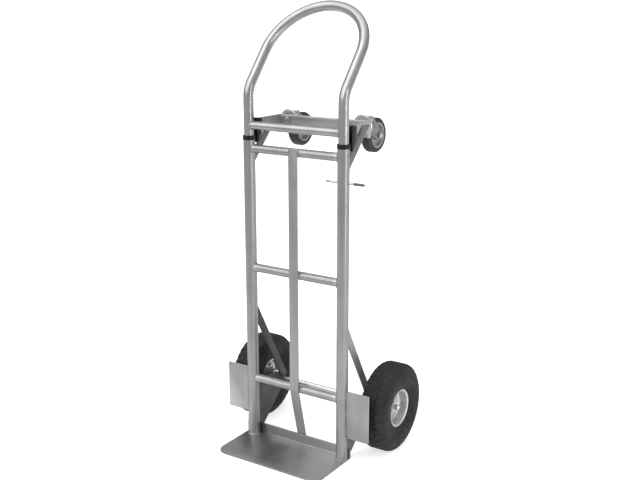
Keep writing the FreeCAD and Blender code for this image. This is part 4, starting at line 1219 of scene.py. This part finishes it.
def make_casters():
    refined("socket_bolts", 0.6 * MM, 2)
    for name, _ in SIDES:
        caster, wheel = name + "_caster", name + "_caster_wheel"
        swivel = Vector(joint(caster + "_swivel")["pos_m"])
        roll = Vector(joint(caster + "_roll")["pos_m"])
        race = race_outline(extent(name + "_top_race").x / 2 / MM)
        mesh = turned(name + "_race_cup", race, swivel, (0, 1, 0), 96)
        add_piece(name + "_race_cup", mesh, "frame", "zinc_hardware", replaced=(name + "_top_race",))
        refined(name + "_king_pin", 0.6 * MM, 2, SHADED_FORK_STEEL)
        refined(name + "_fork", 0.8 * MM, 3, SHADED_FORK_STEEL)
        refined(name + "_caster_axle", 0.6 * MM, 2)
        size = extent(name + "_tread")
        rubber = caster_tread_outline(size.z / 2 / MM, size.x / 2 / MM)
        mesh = turned(name + "_tread_ring", rubber, roll, X_AXIS, 128)
        add_piece(name + "_tread_ring", mesh, wheel, "caster_rubber", replaced=(name + "_tread",))
        refined(name + "_core", 0.9 * MM, 3)


# ---- camera, lights, floor ---------------------------------------------------

CAMERA_PLACE = (1.4631, RAIL_Y - 2.1142, 1.2847)
CAMERA_DOWN = 14.28
CAMERA_TURN = 33.154
CAMERA_LENS = 53.3
CAMERA_SENSOR = 36.0
FLOOR_HALF = 5000.0


def make_camera():
    """Looks at the truck from its front right, a little from above."""
    data = bpy.data.cameras.new("camera")
    data.lens = CAMERA_LENS
    data.sensor_width = CAMERA_SENSOR
    camera = bpy.data.objects.new("camera", data)
    camera.location = CAMERA_PLACE
    camera.rotation_euler = (math.radians(90 - CAMERA_DOWN), 0, math.radians(CAMERA_TURN))
    bpy.context.scene.collection.objects.link(camera)
    bpy.context.scene.camera = camera


def make_light(name, place, target, width, height, power):
    data = bpy.data.lights.new(name, "AREA")
    data.shape = "RECTANGLE"
    data.size, data.size_y = width, height
    data.energy = power
    light = bpy.data.objects.new(name, data)
    light.location = place
    light.rotation_euler = (Vector(target) - Vector(place)).to_track_quat("-Z", "Y").to_euler()
    bpy.context.scene.collection.objects.link(light)


def make_sun(direction, strength, softness):
    """A sun as wide as softness, in degrees."""
    data = bpy.data.lights.new("sun", "SUN")
    data.energy = strength
    data.angle = math.radians(softness)
    light = bpy.data.objects.new("sun", data)
    light.rotation_euler = Vector(direction).to_track_quat("-Z", "Y").to_euler()
    bpy.context.scene.collection.objects.link(light)


def make_sky():
    """Grey, near the floor's own tone at the horizon, and bright overhead; stops are (height, value)."""
    world = bpy.data.worlds.new("studio")
    world.use_nodes = True
    nodes, links = world.node_tree.nodes, world.node_tree.links
    place = nodes.new("ShaderNodeTexCoord")
    split = nodes.new("ShaderNodeSeparateXYZ")
    ramp = nodes.new("ShaderNodeValToRGB")
    links.new(place.outputs["Generated"], split.inputs["Vector"])
    links.new(split.outputs["Z"], ramp.inputs["Fac"])
    stops = ((0.0, 0.68), (0.05, 0.50), (0.4, 0.46), (0.7, 0.75), (0.9, 1.6), (1.0, 2.4))
    while len(ramp.color_ramp.elements) < len(stops):
        ramp.color_ramp.elements.new(0.5)
    for element, (position, value) in zip(ramp.color_ramp.elements, stops):
        element.position = position
        element.color = (value, value, value, 1)
    links.new(ramp.outputs["Color"], nodes["Background"].inputs["Color"])
    nodes["Background"].inputs["Strength"].default_value = 1.0
    bpy.context.scene.world = world


def make_studio():
    make_sky()
    bpy.context.scene.view_settings.view_transform = "Standard"
    make_sun(direction=(0.30, 0.80, -0.85), strength=2.9, softness=70)
    make_light("stripe", place=(2.6, RAIL_Y - 0.38, 1.1), target=(0, 0, 0.6),
               width=0.22, height=2.4, power=26)
    corners = [(x * FLOOR_HALF, y * FLOOR_HALF, 0) for x, y in ((-1, -1), (1, -1), (1, 1), (-1, 1))]
    floor_mesh = mesh_of("floor", corners, [(0, 1, 2, 3)])
    floor_mesh.materials.append(pale_floor())
    floor = bpy.data.objects.new("floor", floor_mesh)
    bpy.context.scene.collection.objects.link(floor)


# ---- the truck ---------------------------------------------------------------

make_rails()
for bar in BARS:
    make_crossbar(bar, RAIL_R)
make_handle()
make_pin()
make_pin_grip()
make_plates()
make_mouldings()
make_wheels()
make_axle()
make_casters()
frame_welds()
handle_welds()
make_camera()
make_studio()
